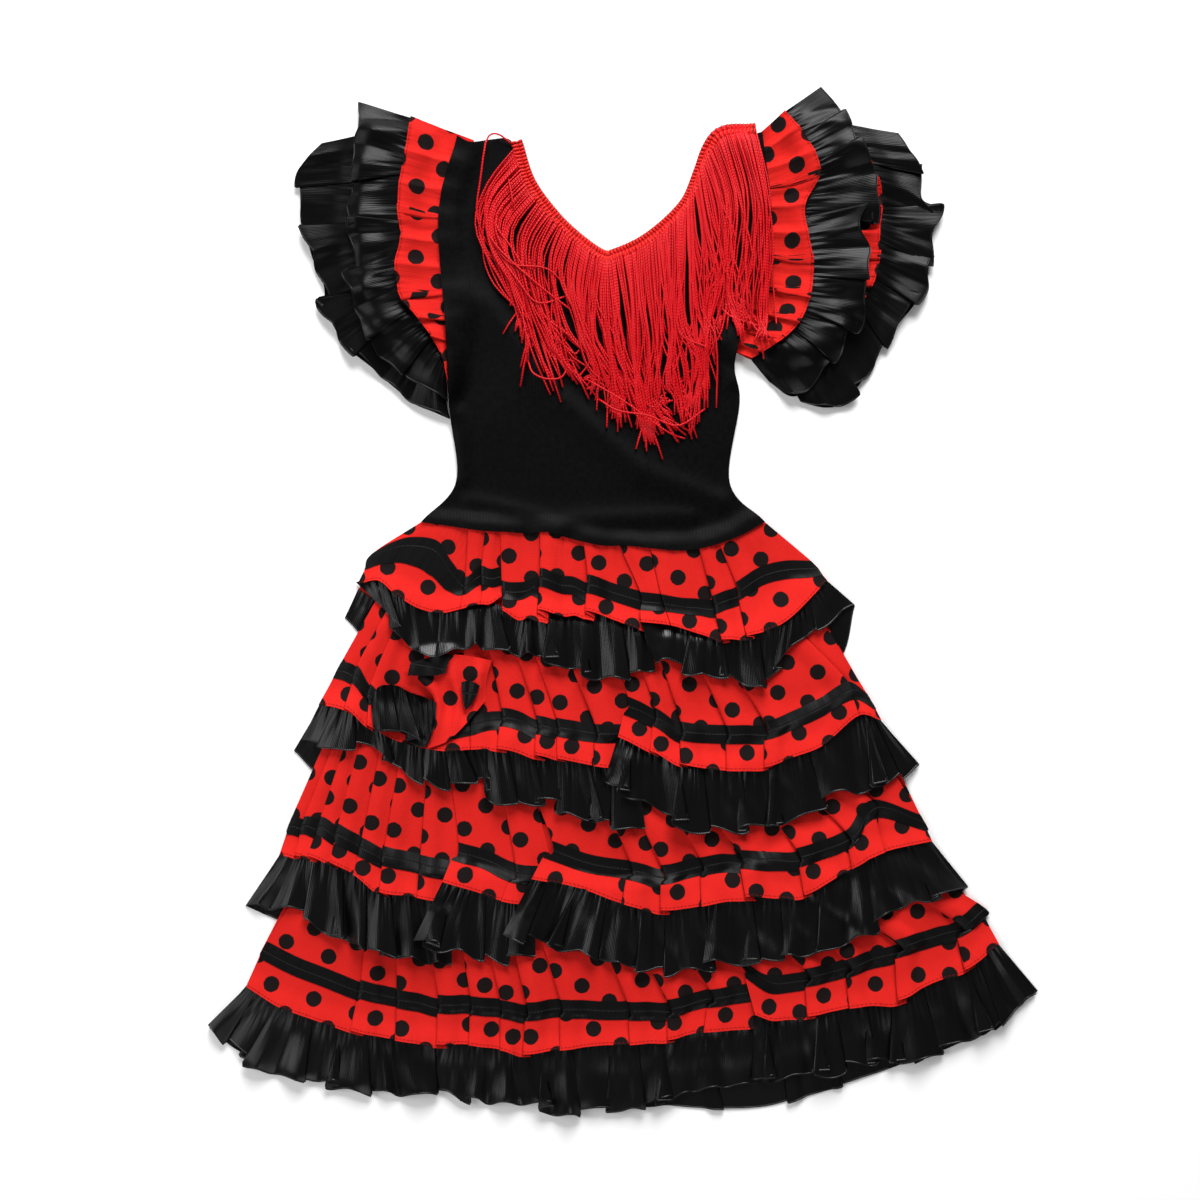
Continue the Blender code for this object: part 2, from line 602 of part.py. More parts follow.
def sleeve_folds(rows):
    """Where an upper sleeve has its columns, and how high its folds stand there."""
    at = np.sort(np.concatenate([np.arange(len(rows)), np.arange(len(rows) - 1) + FOLD_END]))
    height = [row[-1] if number % 2 == 0 else 0.0 for number, row in
              zip(range(len(at)), np.repeat(np.array(rows, float), 2, axis=0))]
    return at, np.array(height)


def sleeve_panel(rows, inner, outer, start, at):
    """x, y of a sleeve piece from near the armhole to its ruffle's seam."""
    near, far = station(rows, inner, at), station(rows, outer, at)
    near = towards(near, far, -ARMHOLE_LAP) if start == 0 else near + start * (far - near)
    return np.stack([near, 0.5 * (near + far), far], 1)


def sleeve(bed, rows, name, side):
    """One face of a sleeve: two tiers, each a red piece with a ruffle."""
    front = side == "front"
    waves = SLEEVE_WAVES if front else SLEEVE_BACK_WAVES
    tall = SLEEVE_WAVE if front else SLEEVE_BACK_WAVE
    steps = WAVE_STEPS if front else 2
    places = (0, 1, 2) if front else (0, 2)
    plain = np.arange(len(rows), dtype=float)
    layers = (("lower", 3, 4, LOWER_START), ("upper", 1, 2, 0.0))
    for layer, seam, edge, start in layers if front else layers[::-1]:
        flat, rise = ruffle_pattern(rows, seam, edge, waves, tall, steps)
        frill = ("sleeve_%s_%s_ruffle_%s" % (name, layer, side), bed, flat[:, places],
                 rise[:, places], SATIN, satin)
        at, height = sleeve_folds(rows) if front and layer == "upper" else (plain, 0 * plain)
        flat = sleeve_panel(rows, 0, seam, start, at)
        width = np.linalg.norm(flat[:, 2] - flat[:, 0], axis=1)
        height = height * np.clip(width / FULL_WIDTH, 0, 1)
        body = ("sleeve_%s_%s_%s" % (name, layer, side), bed, flat,
                height[:, None] * np.array(FOLD_SHARES), COTTON, red)
        for piece in (frill, body) if front else (body, frill):
            sheet(*piece)


def bodice_pattern(rows, inset, columns, levels):
    """x, y of the bodice from its waist to its shoulders and neck."""
    at = np.linspace(0, len(rows) - 1, columns)
    lines = np.stack([station(rows, number, at) for number in range(6)], 1)
    up = np.linspace(0, 5, levels)
    flat = np.stack([spline(line, up) for line in lines])
    centre = flat.reshape(-1, 2).mean(0)
    return flat + inset * (centre - flat) / np.linalg.norm(centre - flat, axis=-1, keepdims=True)


def crease_rise(flat):
    """Height of the soft creases over a pattern."""
    rise = np.zeros(flat.shape[:2])
    for x0, y0, x1, y1, half, tall in CREASES:
        start, way = np.array([x0, y0]), np.array([x1 - x0, y1 - y0])
        along = np.clip(((flat - start) @ way) / (way @ way), 0, 1)
        away = np.linalg.norm(flat - start - along[..., None] * way, axis=-1)
        rise = np.maximum(rise, tall * np.exp(-(away / half)**2))
    return rise


def strand_path(bed, line):
    """A strand's middle line, set on the cloth below it."""
    steps = np.linspace(0, 1, 12)[:, None]
    high = np.array([bed.under(line[i] + steps * (line[i + 1] - line[i])).max()
                     for i in range(len(line) - 1)])
    level = np.maximum(np.concatenate([high[:1], high]), np.concatenate([high, high[-1:]]))
    return np.column_stack([line, level + SEAM_GAP + STRAND_HIGH / 2])


def neck_fringe(bed, rows):
    """Braid along the neck with a row of strands grown out of its lower edge."""
    cells = 2 * STRANDS + 1
    fine = np.linspace(0, len(rows) - 1, 20 * len(rows))
    at = np.interp(evenly(station(rows, 0, fine), cells), np.arange(len(fine)), fine)
    root = station(rows, 0, at)
    tangent = np.gradient(root, axis=0)
    tangent /= np.linalg.norm(tangent, axis=1, keepdims=True)
    neck = root + BRAID_WIDTH * np.stack([-tangent[:, 1], tangent[:, 0]], 1)
    flat = np.stack([root, neck], 1)
    grid = lay(bed, flat, np.zeros(flat.shape[:2]), BRAID_THICK)
    upper, lower = shell(grid, BRAID_THICK)
    points, faces = wall_mesh(upper, lower)
    points = list(points)
    half = 2 * len(at)
    for n in range(STRANDS):
        i = 2 * n + 1
        rim = (2 * i, 2 * i + 2, half + 2 * i + 2, half + 2 * i)
        spots = set(rim)
        faces = [face for face in faces if not set(face) <= spots]
        middle = at[i:i + 2].mean()
        line = np.stack([station(rows, number, np.array([middle]))[0] for number in range(5)])
        line[4] += (line[4] - line[3]) * STRAND_UNEVEN * math.sin(STRAND_BEAT * n)
        line[0] = 0.5 * (root[i] + root[i + 1])
        line = spline(line, np.linspace(0, 4, STRAND_RINGS + 1))
        path = strand_path(bed, line)
        way = np.gradient(path[:, :2], axis=0)
        way /= np.linalg.norm(way, axis=1, keepdims=True)
        last = rim
        for k in range(1, STRAND_RINGS + 1):
            share = k / STRAND_RINGS
            wide = (STRAND_WIDE * (1 - share) + STRAND_TIP * share) / 2
            high = (STRAND_HIGH * (1 - share) + STRAND_TIP * share) / 2
            across = np.array([-way[k, 1], way[k, 0], 0]) * wide
            if across[:2] @ (root[i] - root[i + 1]) < 0:
                across = -across
            lift = np.array([0, 0, high])
            ring = [path[k] + across + lift, path[k] - across + lift,
                    path[k] - across - lift, path[k] + across - lift]
            first = len(points)
            points += ring
            ring = (first, first + 1, first + 2, first + 3)
            for m in range(4):
                a, b = last[m], last[(m + 1) % 4]
                c, d = ring[(m + 1) % 4], ring[m]
                faces += [(b, a, d), (b, d, c)]
            last = ring
        faces += [(last[0], last[3], last[2]), (last[0], last[2], last[1])]
    points = np.array(points)
    build("neck_fringe", points, faces, rayon)


def turned_fold(bed, rows):
    """The part of the second tier that has turned over, with its ruffle upwards."""
    at = np.linspace(0, len(rows) - 1, len(TURNED_WAVES))
    lines = np.stack([station(rows, number, at) for number in range(4)], 1)
    rise = np.outer(TURNED_WAVES, TURNED_SHARES)
    sheet("tier_2_turned_fold", bed, lines, rise, COTTON, red)


for old in list(bpy.data.objects):
    bpy.data.objects.remove(old, do_unlink=True)

red = material("red_cotton", RED, 0.85, 0.2)
satin = material("black_satin", BLACK_SATIN, 0.38)
jersey = material("black_jersey", BLACK_JERSEY, 0.9, 0.2)
rayon = material("red_rayon", FRINGE_RED, 0.42)

bed = Bed()

# Back, from the surface up
back = bodice_pattern(BODICE, 1.0, 17, 8)
sheet("bodice_back", bed, back, np.zeros(back.shape[:2]), JERSEY, jersey)
for rows, side in ((SLEEVE_LEFT, "left"), (SLEEVE_RIGHT, "right")):
    sleeve(bed, rows, side, "back")
for number, rows in enumerate((TIER_1_BACK, TIER_2_BACK, TIER_3_BACK, TIER_4_BACK), 1):
    tier_back(bed, rows, BACK_WAVES["TIER_%d_BACK" % number], "%d_back" % number)

# Front, from the hem up, so that each tier hangs over the next
tier_front(bed, "TIER_4_FRONT_LEFT", TIER_4_FRONT_LEFT, "4_front_left")
tier_front(bed, "TIER_4_FRONT_RIGHT", TIER_4_FRONT_RIGHT, "4_front_right")
tier_front(bed, "TIER_3_FRONT_LEFT", TIER_3_FRONT_LEFT, "3_front_left")
tier_front(bed, "TIER_3_FRONT_MIDDLE", TIER_3_FRONT_MIDDLE, "3_front_middle")
tier_front(bed, "TIER_3_FRONT_RIGHT", TIER_3_FRONT_RIGHT, "3_front_right")
tier_front(bed, "TIER_2_FRONT_LEFT", TIER_2_FRONT_LEFT, "2_front_left")
turned_fold(bed, TURNED_FOLD)
tier_front(bed, "TIER_2_FRONT_RIGHT", TIER_2_FRONT_RIGHT, "2_front_right")
tier_front(bed, "TIER_1_FRONT_LEFT", TIER_1_FRONT_LEFT, "1_front_left")
tier_front(bed, "TIER_1_FRONT_RIGHT", TIER_1_FRONT_RIGHT, "1_front_right")
for rows, side in ((SLEEVE_LEFT, "left"), (SLEEVE_RIGHT, "right")):
    sleeve(bed, rows, side, "front")
front = bodice_pattern(BODICE, 0.0, 25, 9)
sheet("bodice_front", bed, front, crease_rise(front), JERSEY, jersey)
neck_fringe(bed, FRINGE)
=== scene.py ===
# %% [markdown]
# # A flamenco dress laid flat
# This lesson dresses a child's flamenco dress that lies on its back on a pale table: a black
# jersey bodice, four red dotted skirt tiers, a satin ribbon on each, satin ruffles, two tiered
# sleeves and a fringed neck. Every piece takes the place of a plain solid of the same name.

# %% Load the plain solids
import math

import bpy
import numpy as np
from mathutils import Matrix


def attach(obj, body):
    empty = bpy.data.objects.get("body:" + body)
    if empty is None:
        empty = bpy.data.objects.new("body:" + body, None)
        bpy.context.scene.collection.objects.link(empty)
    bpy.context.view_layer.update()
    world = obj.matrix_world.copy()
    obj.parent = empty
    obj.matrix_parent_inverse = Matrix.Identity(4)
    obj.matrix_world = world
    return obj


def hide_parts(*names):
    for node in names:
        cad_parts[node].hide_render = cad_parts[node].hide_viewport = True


MM_IN_M = 1000.0

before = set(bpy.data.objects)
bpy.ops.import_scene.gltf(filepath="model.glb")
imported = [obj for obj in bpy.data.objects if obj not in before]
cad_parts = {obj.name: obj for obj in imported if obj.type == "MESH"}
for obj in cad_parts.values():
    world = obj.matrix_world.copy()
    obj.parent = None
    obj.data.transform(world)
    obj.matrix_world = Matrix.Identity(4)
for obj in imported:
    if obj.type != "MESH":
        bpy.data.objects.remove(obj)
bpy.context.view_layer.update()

# %% [markdown]
# ## Camera, table and light
# A flat lay is taken from straight above. The camera looks down the Z axis from 1.34 m with a
# 50 mm lens, which sees a square of 0.96 m. The main lamp stands beyond the shoulders, so each
# ruffle throws a soft shadow on the tier below it. Two weak lamps fill from the left and the hem.
# All stand low: flat satin throws their gloss away from the lens and stays black, and only the
# slopes of its waves light up.

# %% Camera
LENS = 50.0
SENSOR = 36.0
CAMERA_PLACE = (-0.0188, -0.0010, 1.343)

camera_data = bpy.data.cameras.new("camera")
camera_data.lens = LENS
camera_data.sensor_width = SENSOR
camera = bpy.data.objects.new("camera", camera_data)
camera.location = CAMERA_PLACE
bpy.context.scene.collection.objects.link(camera)
bpy.context.scene.camera = camera
bpy.context.scene.view_settings.view_transform = "Standard"
print("camera sees", round(CAMERA_PLACE[2] * SENSOR / LENS, 3), "m of the table")


# %% Table and lamps
LAMP_SIZE = 1.4
WORLD_LIGHT = 0.12
TABLE_SIZE = 6.0
TABLE_DROP = 0.0004

# Each lamp's name, place in metres and power in watts
LAMPS = (
    ("lamp_shoulder", (0.3, 2.2, 1.4), 118.0),
    ("lamp_left", (-1.8, 0.2, 1.3), 24.0),
    ("lamp_hem", (0.3, -2.1, 1.4), 18.0),
)


def lamp(name, place, power):
    """A square soft lamp that faces the middle of the dress."""
    data = bpy.data.lights.new(name, "AREA")
    data.shape = "SQUARE"
    data.size = LAMP_SIZE
    data.energy = power
    made = bpy.data.objects.new(name, data)
    made.location = place
    towards_dress = -made.location.normalized()
    made.rotation_euler = towards_dress.to_track_quat("-Z", "Y").to_euler()
    bpy.context.scene.collection.objects.link(made)


for name, place, power in LAMPS:
    lamp(name, place, power)
world = bpy.data.worlds.new("studio")
bpy.context.scene.world = world
world.use_nodes = True
world.node_tree.nodes["Background"].inputs["Color"].default_value = (1, 1, 1, 1)
world.node_tree.nodes["Background"].inputs["Strength"].default_value = WORLD_LIGHT

bpy.ops.object.select_all(action="DESELECT")
bpy.ops.mesh.primitive_plane_add(size=TABLE_SIZE, location=(0, 0, -TABLE_DROP))
table = bpy.context.object
table.name = "table"
print("lamps", len(LAMPS), "table", TABLE_SIZE, "m")

# %% [markdown]
# ## Sums on shader sockets
# A pattern such as polka dots is arithmetic on the cloth's own coordinates. Wiring every Math
# node by hand is slow to read, so one small class holds a socket and lets + - * / build the
# nodes. Other nodes come from one method that takes the type, the settings and the values of the
# sockets; a socket without a name of its own is given by its number, such as _0.


# %% A socket that can be added, multiplied and compared
class Finish:
    """A material being made: its node tree and its Principled shader."""

    def __init__(self, name):
        self.material = bpy.data.materials.new(name)
        self.material.use_nodes = True
        self.tree = self.material.node_tree
        self.shader = self.tree.nodes["Principled BSDF"]

    def node(self, kind, settings=None, **values):
        made = self.tree.nodes.new(kind)
        for key, value in (settings or {}).items():
            setattr(made, key, value)
        for key, value in values.items():
            socket = made.inputs[int(key[1:]) if key[0] == "_" else key.replace("_", " ")]
            if isinstance(value, Wire):
                self.tree.links.new(value.socket, socket)
            else:
                socket.default_value = value
        return made

    def wire(self, made, output=0):
        return Wire(self, made.outputs[output])

    def uniform(self, **values):
        for key, value in values.items():
            self.shader.inputs[key.replace("_", " ")].default_value = value

    def feed(self, name, value):
        self.tree.links.new(value.socket, self.shader.inputs[name])

    def cloth(self, layer="UVMap"):
        """The cloth's own coordinates in metres: along and down."""
        split = self.node("ShaderNodeSeparateXYZ", Vector=self.wire(
            self.node("ShaderNodeUVMap", {"uv_map": layer})))
        return self.wire(split, 0), self.wire(split, 1)

    def point(self, x, y):
        return self.wire(self.node("ShaderNodeCombineXYZ", X=x, Y=y))

    def noise(self, where, scale, detail=2.0):
        return self.wire(self.node("ShaderNodeTexNoise", Vector=where, Scale=scale, Detail=detail))

    def mix(self, share, first, second):
        """A colour between two others, by a share of 0 to 1."""
        made = self.node("ShaderNodeMix", {"data_type": "RGBA"}, _0=share, _6=first, _7=second)
        return self.wire(made, 2)

    def step(self, value, low, high):
        """0 below low, 1 above high, and a soft edge between."""
        made = self.node("ShaderNodeMapRange", {"interpolation_type": "SMOOTHSTEP"}, Value=value,
                         From_Min=low, From_Max=high, To_Min=0.0, To_Max=1.0)
        return self.wire(made)

    def bump(self, height, distance):
        return self.wire(self.node("ShaderNodeBump", Height=height, Distance=distance))


class Wire:
    """A socket's value, with the sums that patterns need."""

    def __init__(self, finish, socket):
        self.finish, self.socket = finish, socket

    def math(self, operation, *others):
        values = {"_%d" % (n + 1): other for n, other in enumerate(others)}
        made = self.finish.node("ShaderNodeMath", {"operation": operation}, _0=self, **values)
        return Wire(self.finish, made.outputs[0])

    def __add__(self, other):
        return self.math("ADD", other)

    __radd__ = __add__

    def __sub__(self, other):
        return self.math("SUBTRACT", other)

    def __rsub__(self, other):
        return (self * -1.0) + other

    def __mul__(self, other):
        return self.math("MULTIPLY", other)

    __rmul__ = __mul__

    def __truediv__(self, other):
        return self.math("DIVIDE", other)

    def root(self):
        return self.math("SQRT")

    def part(self):
        return self.math("FRACT")

    def wave(self):
        return self.math("SINE")

    def least(self, other):
        return self.math("MINIMUM", other)

    def falling(self, length):
        """1 at nought, dropping away over a length."""
        return (self * (-1.0 / length)).math("EXPONENT")


# %% [markdown]
# ## Table finish
# The table is plain white card. Its colour has a faint cloudiness so that it isn't one flat value.

# %% White card
CARD_WHITE = ((0.93, 0.93, 0.93, 1), (0.96, 0.96, 0.96, 1))
OBJECT_PLACE = 3

card = Finish("white_card")
where = card.wire(card.node("ShaderNodeTexCoord"), OBJECT_PLACE)
card.feed("Base Color", card.mix(card.noise(where, 3.0), *CARD_WHITE))
card.uniform(Roughness=0.9, Specular_IOR_Level=0.1)
table.data.materials.append(card.material)

# %% [markdown]
# ## Red cotton with dots
# The dots are printed on flat cloth, so they belong to the cloth and not to the table: where a
# pleat hides a strip, a dot is cut. Each piece therefore carries a UV map in metres of cloth.
# The print is a staggered lattice: one square grid of dots and a second one half a step over.
# A second map holds the distance from the top edge and from the seam, for puckers at the sewing.

# %% Dotted cotton
DOT_STEP = 0.036
DOT_RADIUS = 0.0063
DOT_EDGE = 0.0003
DOT_SHIFT = 0.11
DOT_INK = ((0.0070, 0.0040, 0.0040, 1), (0.0105, 0.0070, 0.0070, 1))
RED = ((0.57, 0.014, 0.011, 1), (0.65, 0.020, 0.015, 1))
RED_FADED = (0.48, 0.007, 0.007, 1)
SEAM_THREAD = (0.22, 0.004, 0.004, 1)
SEAM_STITCH = 0.0030
COTTON_THREADS = 5200.0


def dotted_cotton():
    made = Finish("red_dotted_cotton")
    along, down = made.cloth()
    grain = made.noise(made.point(along, down), 380.0)
    near = None
    for shift in (0.0, 0.5):
        x = (along / DOT_STEP + shift).part() - 0.5
        y = (down / DOT_STEP + (shift + DOT_SHIFT)).part() - 0.5
        away = (x * x + y * y).root() * DOT_STEP
        near = away if near is None else near.least(away)
    ragged = near + (grain - 0.5) * 0.0009
    dot = 1.0 - made.step(ragged, DOT_RADIUS - DOT_EDGE, DOT_RADIUS + DOT_EDGE)
    slub = made.noise(made.point(along, down * 9.0), 120.0, 3.0)
    faded = made.noise(made.point(along, down), 22.0)
    red = made.mix(faded * 0.4, made.mix(slub, *RED), RED_FADED)
    ink = made.mix(slub, *DOT_INK)
    from_top, from_seam = made.cloth("edges")
    row = made.step(from_seam, 0.0011, 0.0014) * (1.0 - made.step(from_seam, 0.0019, 0.0022))
    stitch = row * made.step((along / SEAM_STITCH).part(), 0.30, 0.42)
    pucker = made.noise(made.point(along, down * 0.16), 190.0, 1.0)
    sewn = from_top.falling(0.016) + from_seam.falling(0.005) * 0.8
    threads = ((along * COTTON_THREADS).wave() + (down * COTTON_THREADS).wave()) * 0.012
    fold = made.noise(made.point(along, down * 0.45), 55.0)
    made.feed("Base Color", made.mix(stitch * 0.4, made.mix(dot, red, ink), SEAM_THREAD))
    made.feed("Roughness", 0.82 - dot * 0.06 + (slub - 0.5) * 0.08)
    relief = pucker * sewn * 1.3 + threads + fold * 0.35 - stitch * 0.25
    made.feed("Normal", made.bump(relief, 0.0022))
    made.uniform(Specular_IOR_Level=0.05)
    return made.material


# %% [markdown]
# ## Black satin
# Satin floats its threads on the face, so it has a soft gloss and shows every gather as a light
# and a dark line. The ruffles' puckers fan from the seam and fade before the free edge. Ribbon is
# the same weave, flat, with one row of machine stitches along its middle.

# %% Satin for ruffles, and ribbon with its stitches
SATIN_BLACK = ((0.0010, 0.0010, 0.0012, 1), (0.0024, 0.0024, 0.0027, 1))
# The lighter colour of the rolled free edge is a painted highlight.
SATIN_EDGE_HIGHLIGHT = (0.010, 0.010, 0.011, 1)
SATIN_RIBS = 4200.0
RIBBON_WIDTH = 15.0
RIBBON_STITCH = 0.0028
RIBBON_THREAD = (0.003, 0.003, 0.003, 1)


def satin_weave(name, gloss):
    """What ruffle satin and ribbon share: the finish, its map, tone, colour and fine ribs."""
    made = Finish(name)
    along, down = made.cloth()
    tone = made.noise(made.point(along, down * 0.4), 30.0)
    colour = made.mix(tone, *SATIN_BLACK)
    made.uniform(Specular_IOR_Level=gloss)
    return made, along, down, tone, colour, (along * SATIN_RIBS).wave() * 0.010


def ruffle_satin(name, gloss, crumple):
    made, along, down, tone, colour, ribs = satin_weave(name, gloss)
    from_seam, from_edge = made.cloth("edges")
    fan = made.noise(made.point(along, down * 0.12), 120.0, 1.0)
    broad = made.noise(made.point(along, down * 0.35), 46.0)
    rolled_edge_and_highlight = 1.0 - made.step(from_edge, 0.0006, 0.0014)
    relief = fan * (from_seam.falling(0.014) * 2.1 + 0.04) + broad * crumple
    # Base colour: the rolled free edge is painted lighter, a painted highlight where the curled edge
    # catches light; the roll's roughness and bump are real.
    made.feed("Base Color", made.mix(rolled_edge_and_highlight * 0.2, colour, SATIN_EDGE_HIGHLIGHT))
    made.feed("Roughness", 0.31 + (tone - 0.5) * 0.08 + rolled_edge_and_highlight * 0.1)
    made.feed("Normal", made.bump(relief + ribs + rolled_edge_and_highlight * 0.12, 0.0030))
    return made.material


def satin_ribbon(name, gloss):
    made, along, down, tone, colour, ribs = satin_weave(name, gloss)
    off = (down - RIBBON_WIDTH / MM_IN_M / 2).math("ABSOLUTE")
    row = 1.0 - made.step(off, 0.0003, 0.0008)
    thread = made.step((along / RIBBON_STITCH).part(), 0.15, 0.35)
    groove = row * (thread * 0.6 + 0.4)
    slack = made.noise(made.point(along, down * 0.2), 90.0)
    made.feed("Base Color", made.mix(groove * 0.7, colour, RIBBON_THREAD))
    made.feed("Roughness", 0.46 + (tone - 0.5) * 0.10 + groove * 0.2)
    made.feed("Normal", made.bump(slack * 0.5 + ribs - groove * 0.14, 0.0018))
    return made.material


# %% [markdown]
# ## Black jersey
# The bodice is a knit: matt, with very fine wales up and down. It eats light, so its specular
# level is turned low, and a fine noise stands for the lint on its face.

# %% Jersey
JERSEY_BLACK = ((0.0003, 0.0003, 0.0004, 1), (0.0026, 0.0026, 0.0027, 1))
JERSEY_WALES = 5400.0


def black_jersey():
    made = Finish("black_jersey")
    along, down = made.cloth()
    wale = (along * JERSEY_WALES).wave() * 0.5 + 0.5
    lint = made.noise(made.point(along, down), 260.0, 3.0)
    made.feed("Base Color", made.mix(lint, *JERSEY_BLACK))
    made.feed("Roughness", 0.50 + (lint - 0.5) * 0.2)
    soft = made.noise(made.point(along, down), 26.0)
    made.feed("Normal", made.bump(wale * 0.05 + lint * 0.06 + soft * 0.5, 0.0016))
    made.uniform(Specular_IOR_Level=0.055)
    return made.material


# %% [markdown]
# ## Red rayon
# Braid and fringe are twisted rayon: a strong red that runs lighter and darker along the cord. The
# twist is a slanting wave on the cord's own UV map, and its lighter and darker bands in the colour
# are painted sheen and painted shade on the plies. The cords' darkest red is painted shade between
# them. The tape under the braid is painted a much deeper red, as painted shade under the braid.

# %% Rayon
# The dark end of the cord reds is painted shade between the cords.
CORD_RED_AND_SHADE = ((0.24, 0.0006, 0.002, 1), (0.80, 0.002, 0.009, 1))
BRAID_RED = ((0.60, 0.008, 0.006, 1), (0.80, 0.026, 0.014, 1))
# The tape's deep red is painted shade under the braid.
TAPE_RED_AS_SHADE = ((0.10, 0.001, 0.001, 1), (0.17, 0.002, 0.002, 1))


def red_rayon(name, turns, slant, reds_lit_and_shaded):
    made = Finish(name)
    along, around = made.cloth()
    twist_and_painted_sheen = (along * turns + around * slant).wave() * 0.5 + 0.5
    tone = made.noise(made.point(along, around), 70.0)
    # Colour: a random tone plus the twist's bands, which are painted sheen and painted shade on the
    # plies.
    made.feed("Base Color", made.mix(twist_and_painted_sheen * 0.22 + tone * 0.78, *reds_lit_and_shaded))
    made.feed("Roughness", 0.42 + (tone - 0.5) * 0.15)
    made.feed("Normal", made.bump(twist_and_painted_sheen, 0.00018))
    made.uniform(Specular_IOR_Level=0.22)
    return made.material


# %% Every finish and the slot that it stands for
FINISHES = {
    "cotton": dotted_cotton(),
    "satin": ruffle_satin("black_satin", 0.25, 0.22),
    "sleeve_satin": ruffle_satin("black_sleeve_satin", 0.12, 0.12),
    "ribbon": satin_ribbon("black_ribbon", 0.14),
    "jersey": black_jersey(),
    "cord": red_rayon("red_rayon_cord", 2600.0, 6.28, CORD_RED_AND_SHADE),
    "braid": red_rayon("red_rayon_braid", 3800.0, 0.0, BRAID_RED),
    "tape": red_rayon("red_rayon_tape_shaded", 900.0, 0.0, TAPE_RED_AS_SHADE),
}
print("finishes", sorted(FINISHES))

# %% [markdown]
# ## The cloth's own sizes
# A visual sheet is thin. Real cotton is about 0.3 mm, but 0.7 mm keeps an edge that a lens sees.
# The fold lines below follow the plain solids, with a few more where the folds are finer. Each row
# is one fold of the cloth, written as x, y in millimetres on the table at four places down the
# tier (its top, the ribbon, the seam of the ruffle and the free edge), and then how high the pleat
# stands there. A minus marks a pleat that faces the other way.

# %% Sizes and fold lines
COTTON = 0.7
SATIN = 0.6
JERSEY = 0.8
RIBBON = 0.35
TAPE = 0.8
GAP = 0.3
RIBBON_GAP = 0.1
RIBBON_OFF = COTTON / 2 + RIBBON_GAP + RIBBON / 2
SEAM_LAP = 2.5
ARMHOLE_LAP = 12.0
TOP_LAP = 6.0
MIDDLE = (0.43, -0.61, 0.0)
CELL = 1.5
TABLE_HALF = 450.0
SUPPORT_REACH = 3

TIER_1_FRONT_LEFT = (
    (-162,   61, -201,   36, -213,   11, -201,    0,    2),
    (-152,   59, -187,   44, -196,   14, -188,  -13,    2),
    (-146,   58, -170,   49, -182,    3, -175,  -34,    3),
    (-139,   58, -149,   46, -164,   -8, -159,  -46,    3),
    (-133,   56, -138,   30, -146,  -12, -145,  -45,    4),
    (-124,   54, -126,   17, -130,   -9, -129,  -40,    4),
    (-110,   54, -113,   26, -113,   -5, -114,  -39,    4),
    ( -98,   52,  -97,   14,  -96,  -10,  -92,  -41,    3),
    ( -82,   51,  -76,   14,  -82,  -18,  -86,  -46,    4),
    ( -66,   50,  -66,   24,  -68,   -9,  -66,  -46,    5),
    ( -48,   48,  -49,   18,  -46,  -15,  -46,  -53,    3),
    ( -31,   44,  -28,   19,  -30,  -10,  -25,  -62,    5),
    ( -15,   41,   -8,   12,   -6,  -18,   -4,  -63,    3),
    (   7,   40,   26,    2,   22,  -29,   26,  -58,    2),
)

TIER_1_FRONT_RIGHT = (
    (  -2,   41,   14,    5,   14,  -19,   26,  -52,    4),
    (  23,   38,   31,    3,   39,  -22,   39,  -51,    3),
    (  42,   38,   50,    0,   62,  -29,   60,  -62,    4),
    (  62,   39,   72,    2,   79,  -33,   79,  -61,    4),
    (  78,   43,   91,   13,   99,  -30,   99,  -68,    3),
    (  92,   48,  110,   25,  118,  -25,  119,  -66,    4),
    ( 103,   55,  130,   30,  136,  -14,  134,  -40,    3),
    ( 114,   61,  151,   30,  164,   14,  186,   -5,    2),
)

TIER_2_FRONT_LEFT = (
    (-196,    2, -226,  -51, -244,  -86, -258, -114,    2),
    (-185,   -3, -213,  -54, -222,  -88, -228, -120,    3),
    (-175,   -6, -202,  -69, -204, -101, -201, -118,    4),
    (-162,  -11, -175,  -93, -178, -115, -180, -136,    2),
    (-146,  -16, -150,  -99, -146, -122, -146, -150,    3),
    (-130,  -18, -122,  -95, -121, -121, -114, -146,    4),
    (-113,  -14,  -97,  -88, -100, -120,  -97, -162,    4),
    ( -94,  -18,  -69,  -94,  -70, -125,  -66, -163,    4),
    ( -78,  -22,  -53,  -96,  -52, -128,  -47, -168,    4),
    ( -54,  -24,  -22, -101,  -23, -134,  -18, -178,    4),
    ( -22,  -29,   18, -101,   12, -139,   18, -184,    2),
)

TIER_2_FRONT_RIGHT = (
    ( -15,  -27,    4,  -79,   -4, -111,  -15, -145,    5),
    (   7,  -34,   26,  -88,   22, -122,   22, -166,    3),
    (  26,  -36,   47,  -99,   46, -132,   47, -179,    4),
    (  55,  -40,   83, -102,   83, -138,   83, -186,    4),
    (  79,  -42,  114,  -99,  113, -135,  116, -182,    4),
    (  98,  -38,  138,  -90,  136, -127,  142, -174,    3),
    ( 114,  -30,  159,  -80,  161, -117,  170, -157,    4),
    ( 130,  -16,  180,  -67,  188,  -94,  193, -154,   -4),
    ( 146,    5,  196,  -77,  207,  -98,  238, -134,    2),
)

TIER_3_FRONT_LEFT = (
    (-228,  -91, -266, -176, -275, -207, -302, -246,    2),
    (-222,  -94, -255, -175, -263, -206, -284, -249,    4),
    (-215,  -96, -242, -175, -252, -206, -255, -251,    4),
    (-206,  -99, -228, -181, -234, -211, -239, -266,    3),
    (-190, -102, -209, -192, -215, -221, -217, -274,    4),
    (-174, -106, -191, -199, -194, -234, -198, -282,    4),
    (-154, -108, -162, -206, -164, -239, -158, -291,    4),
    (-129, -114, -126, -214, -137, -245, -137, -293,    2),
)

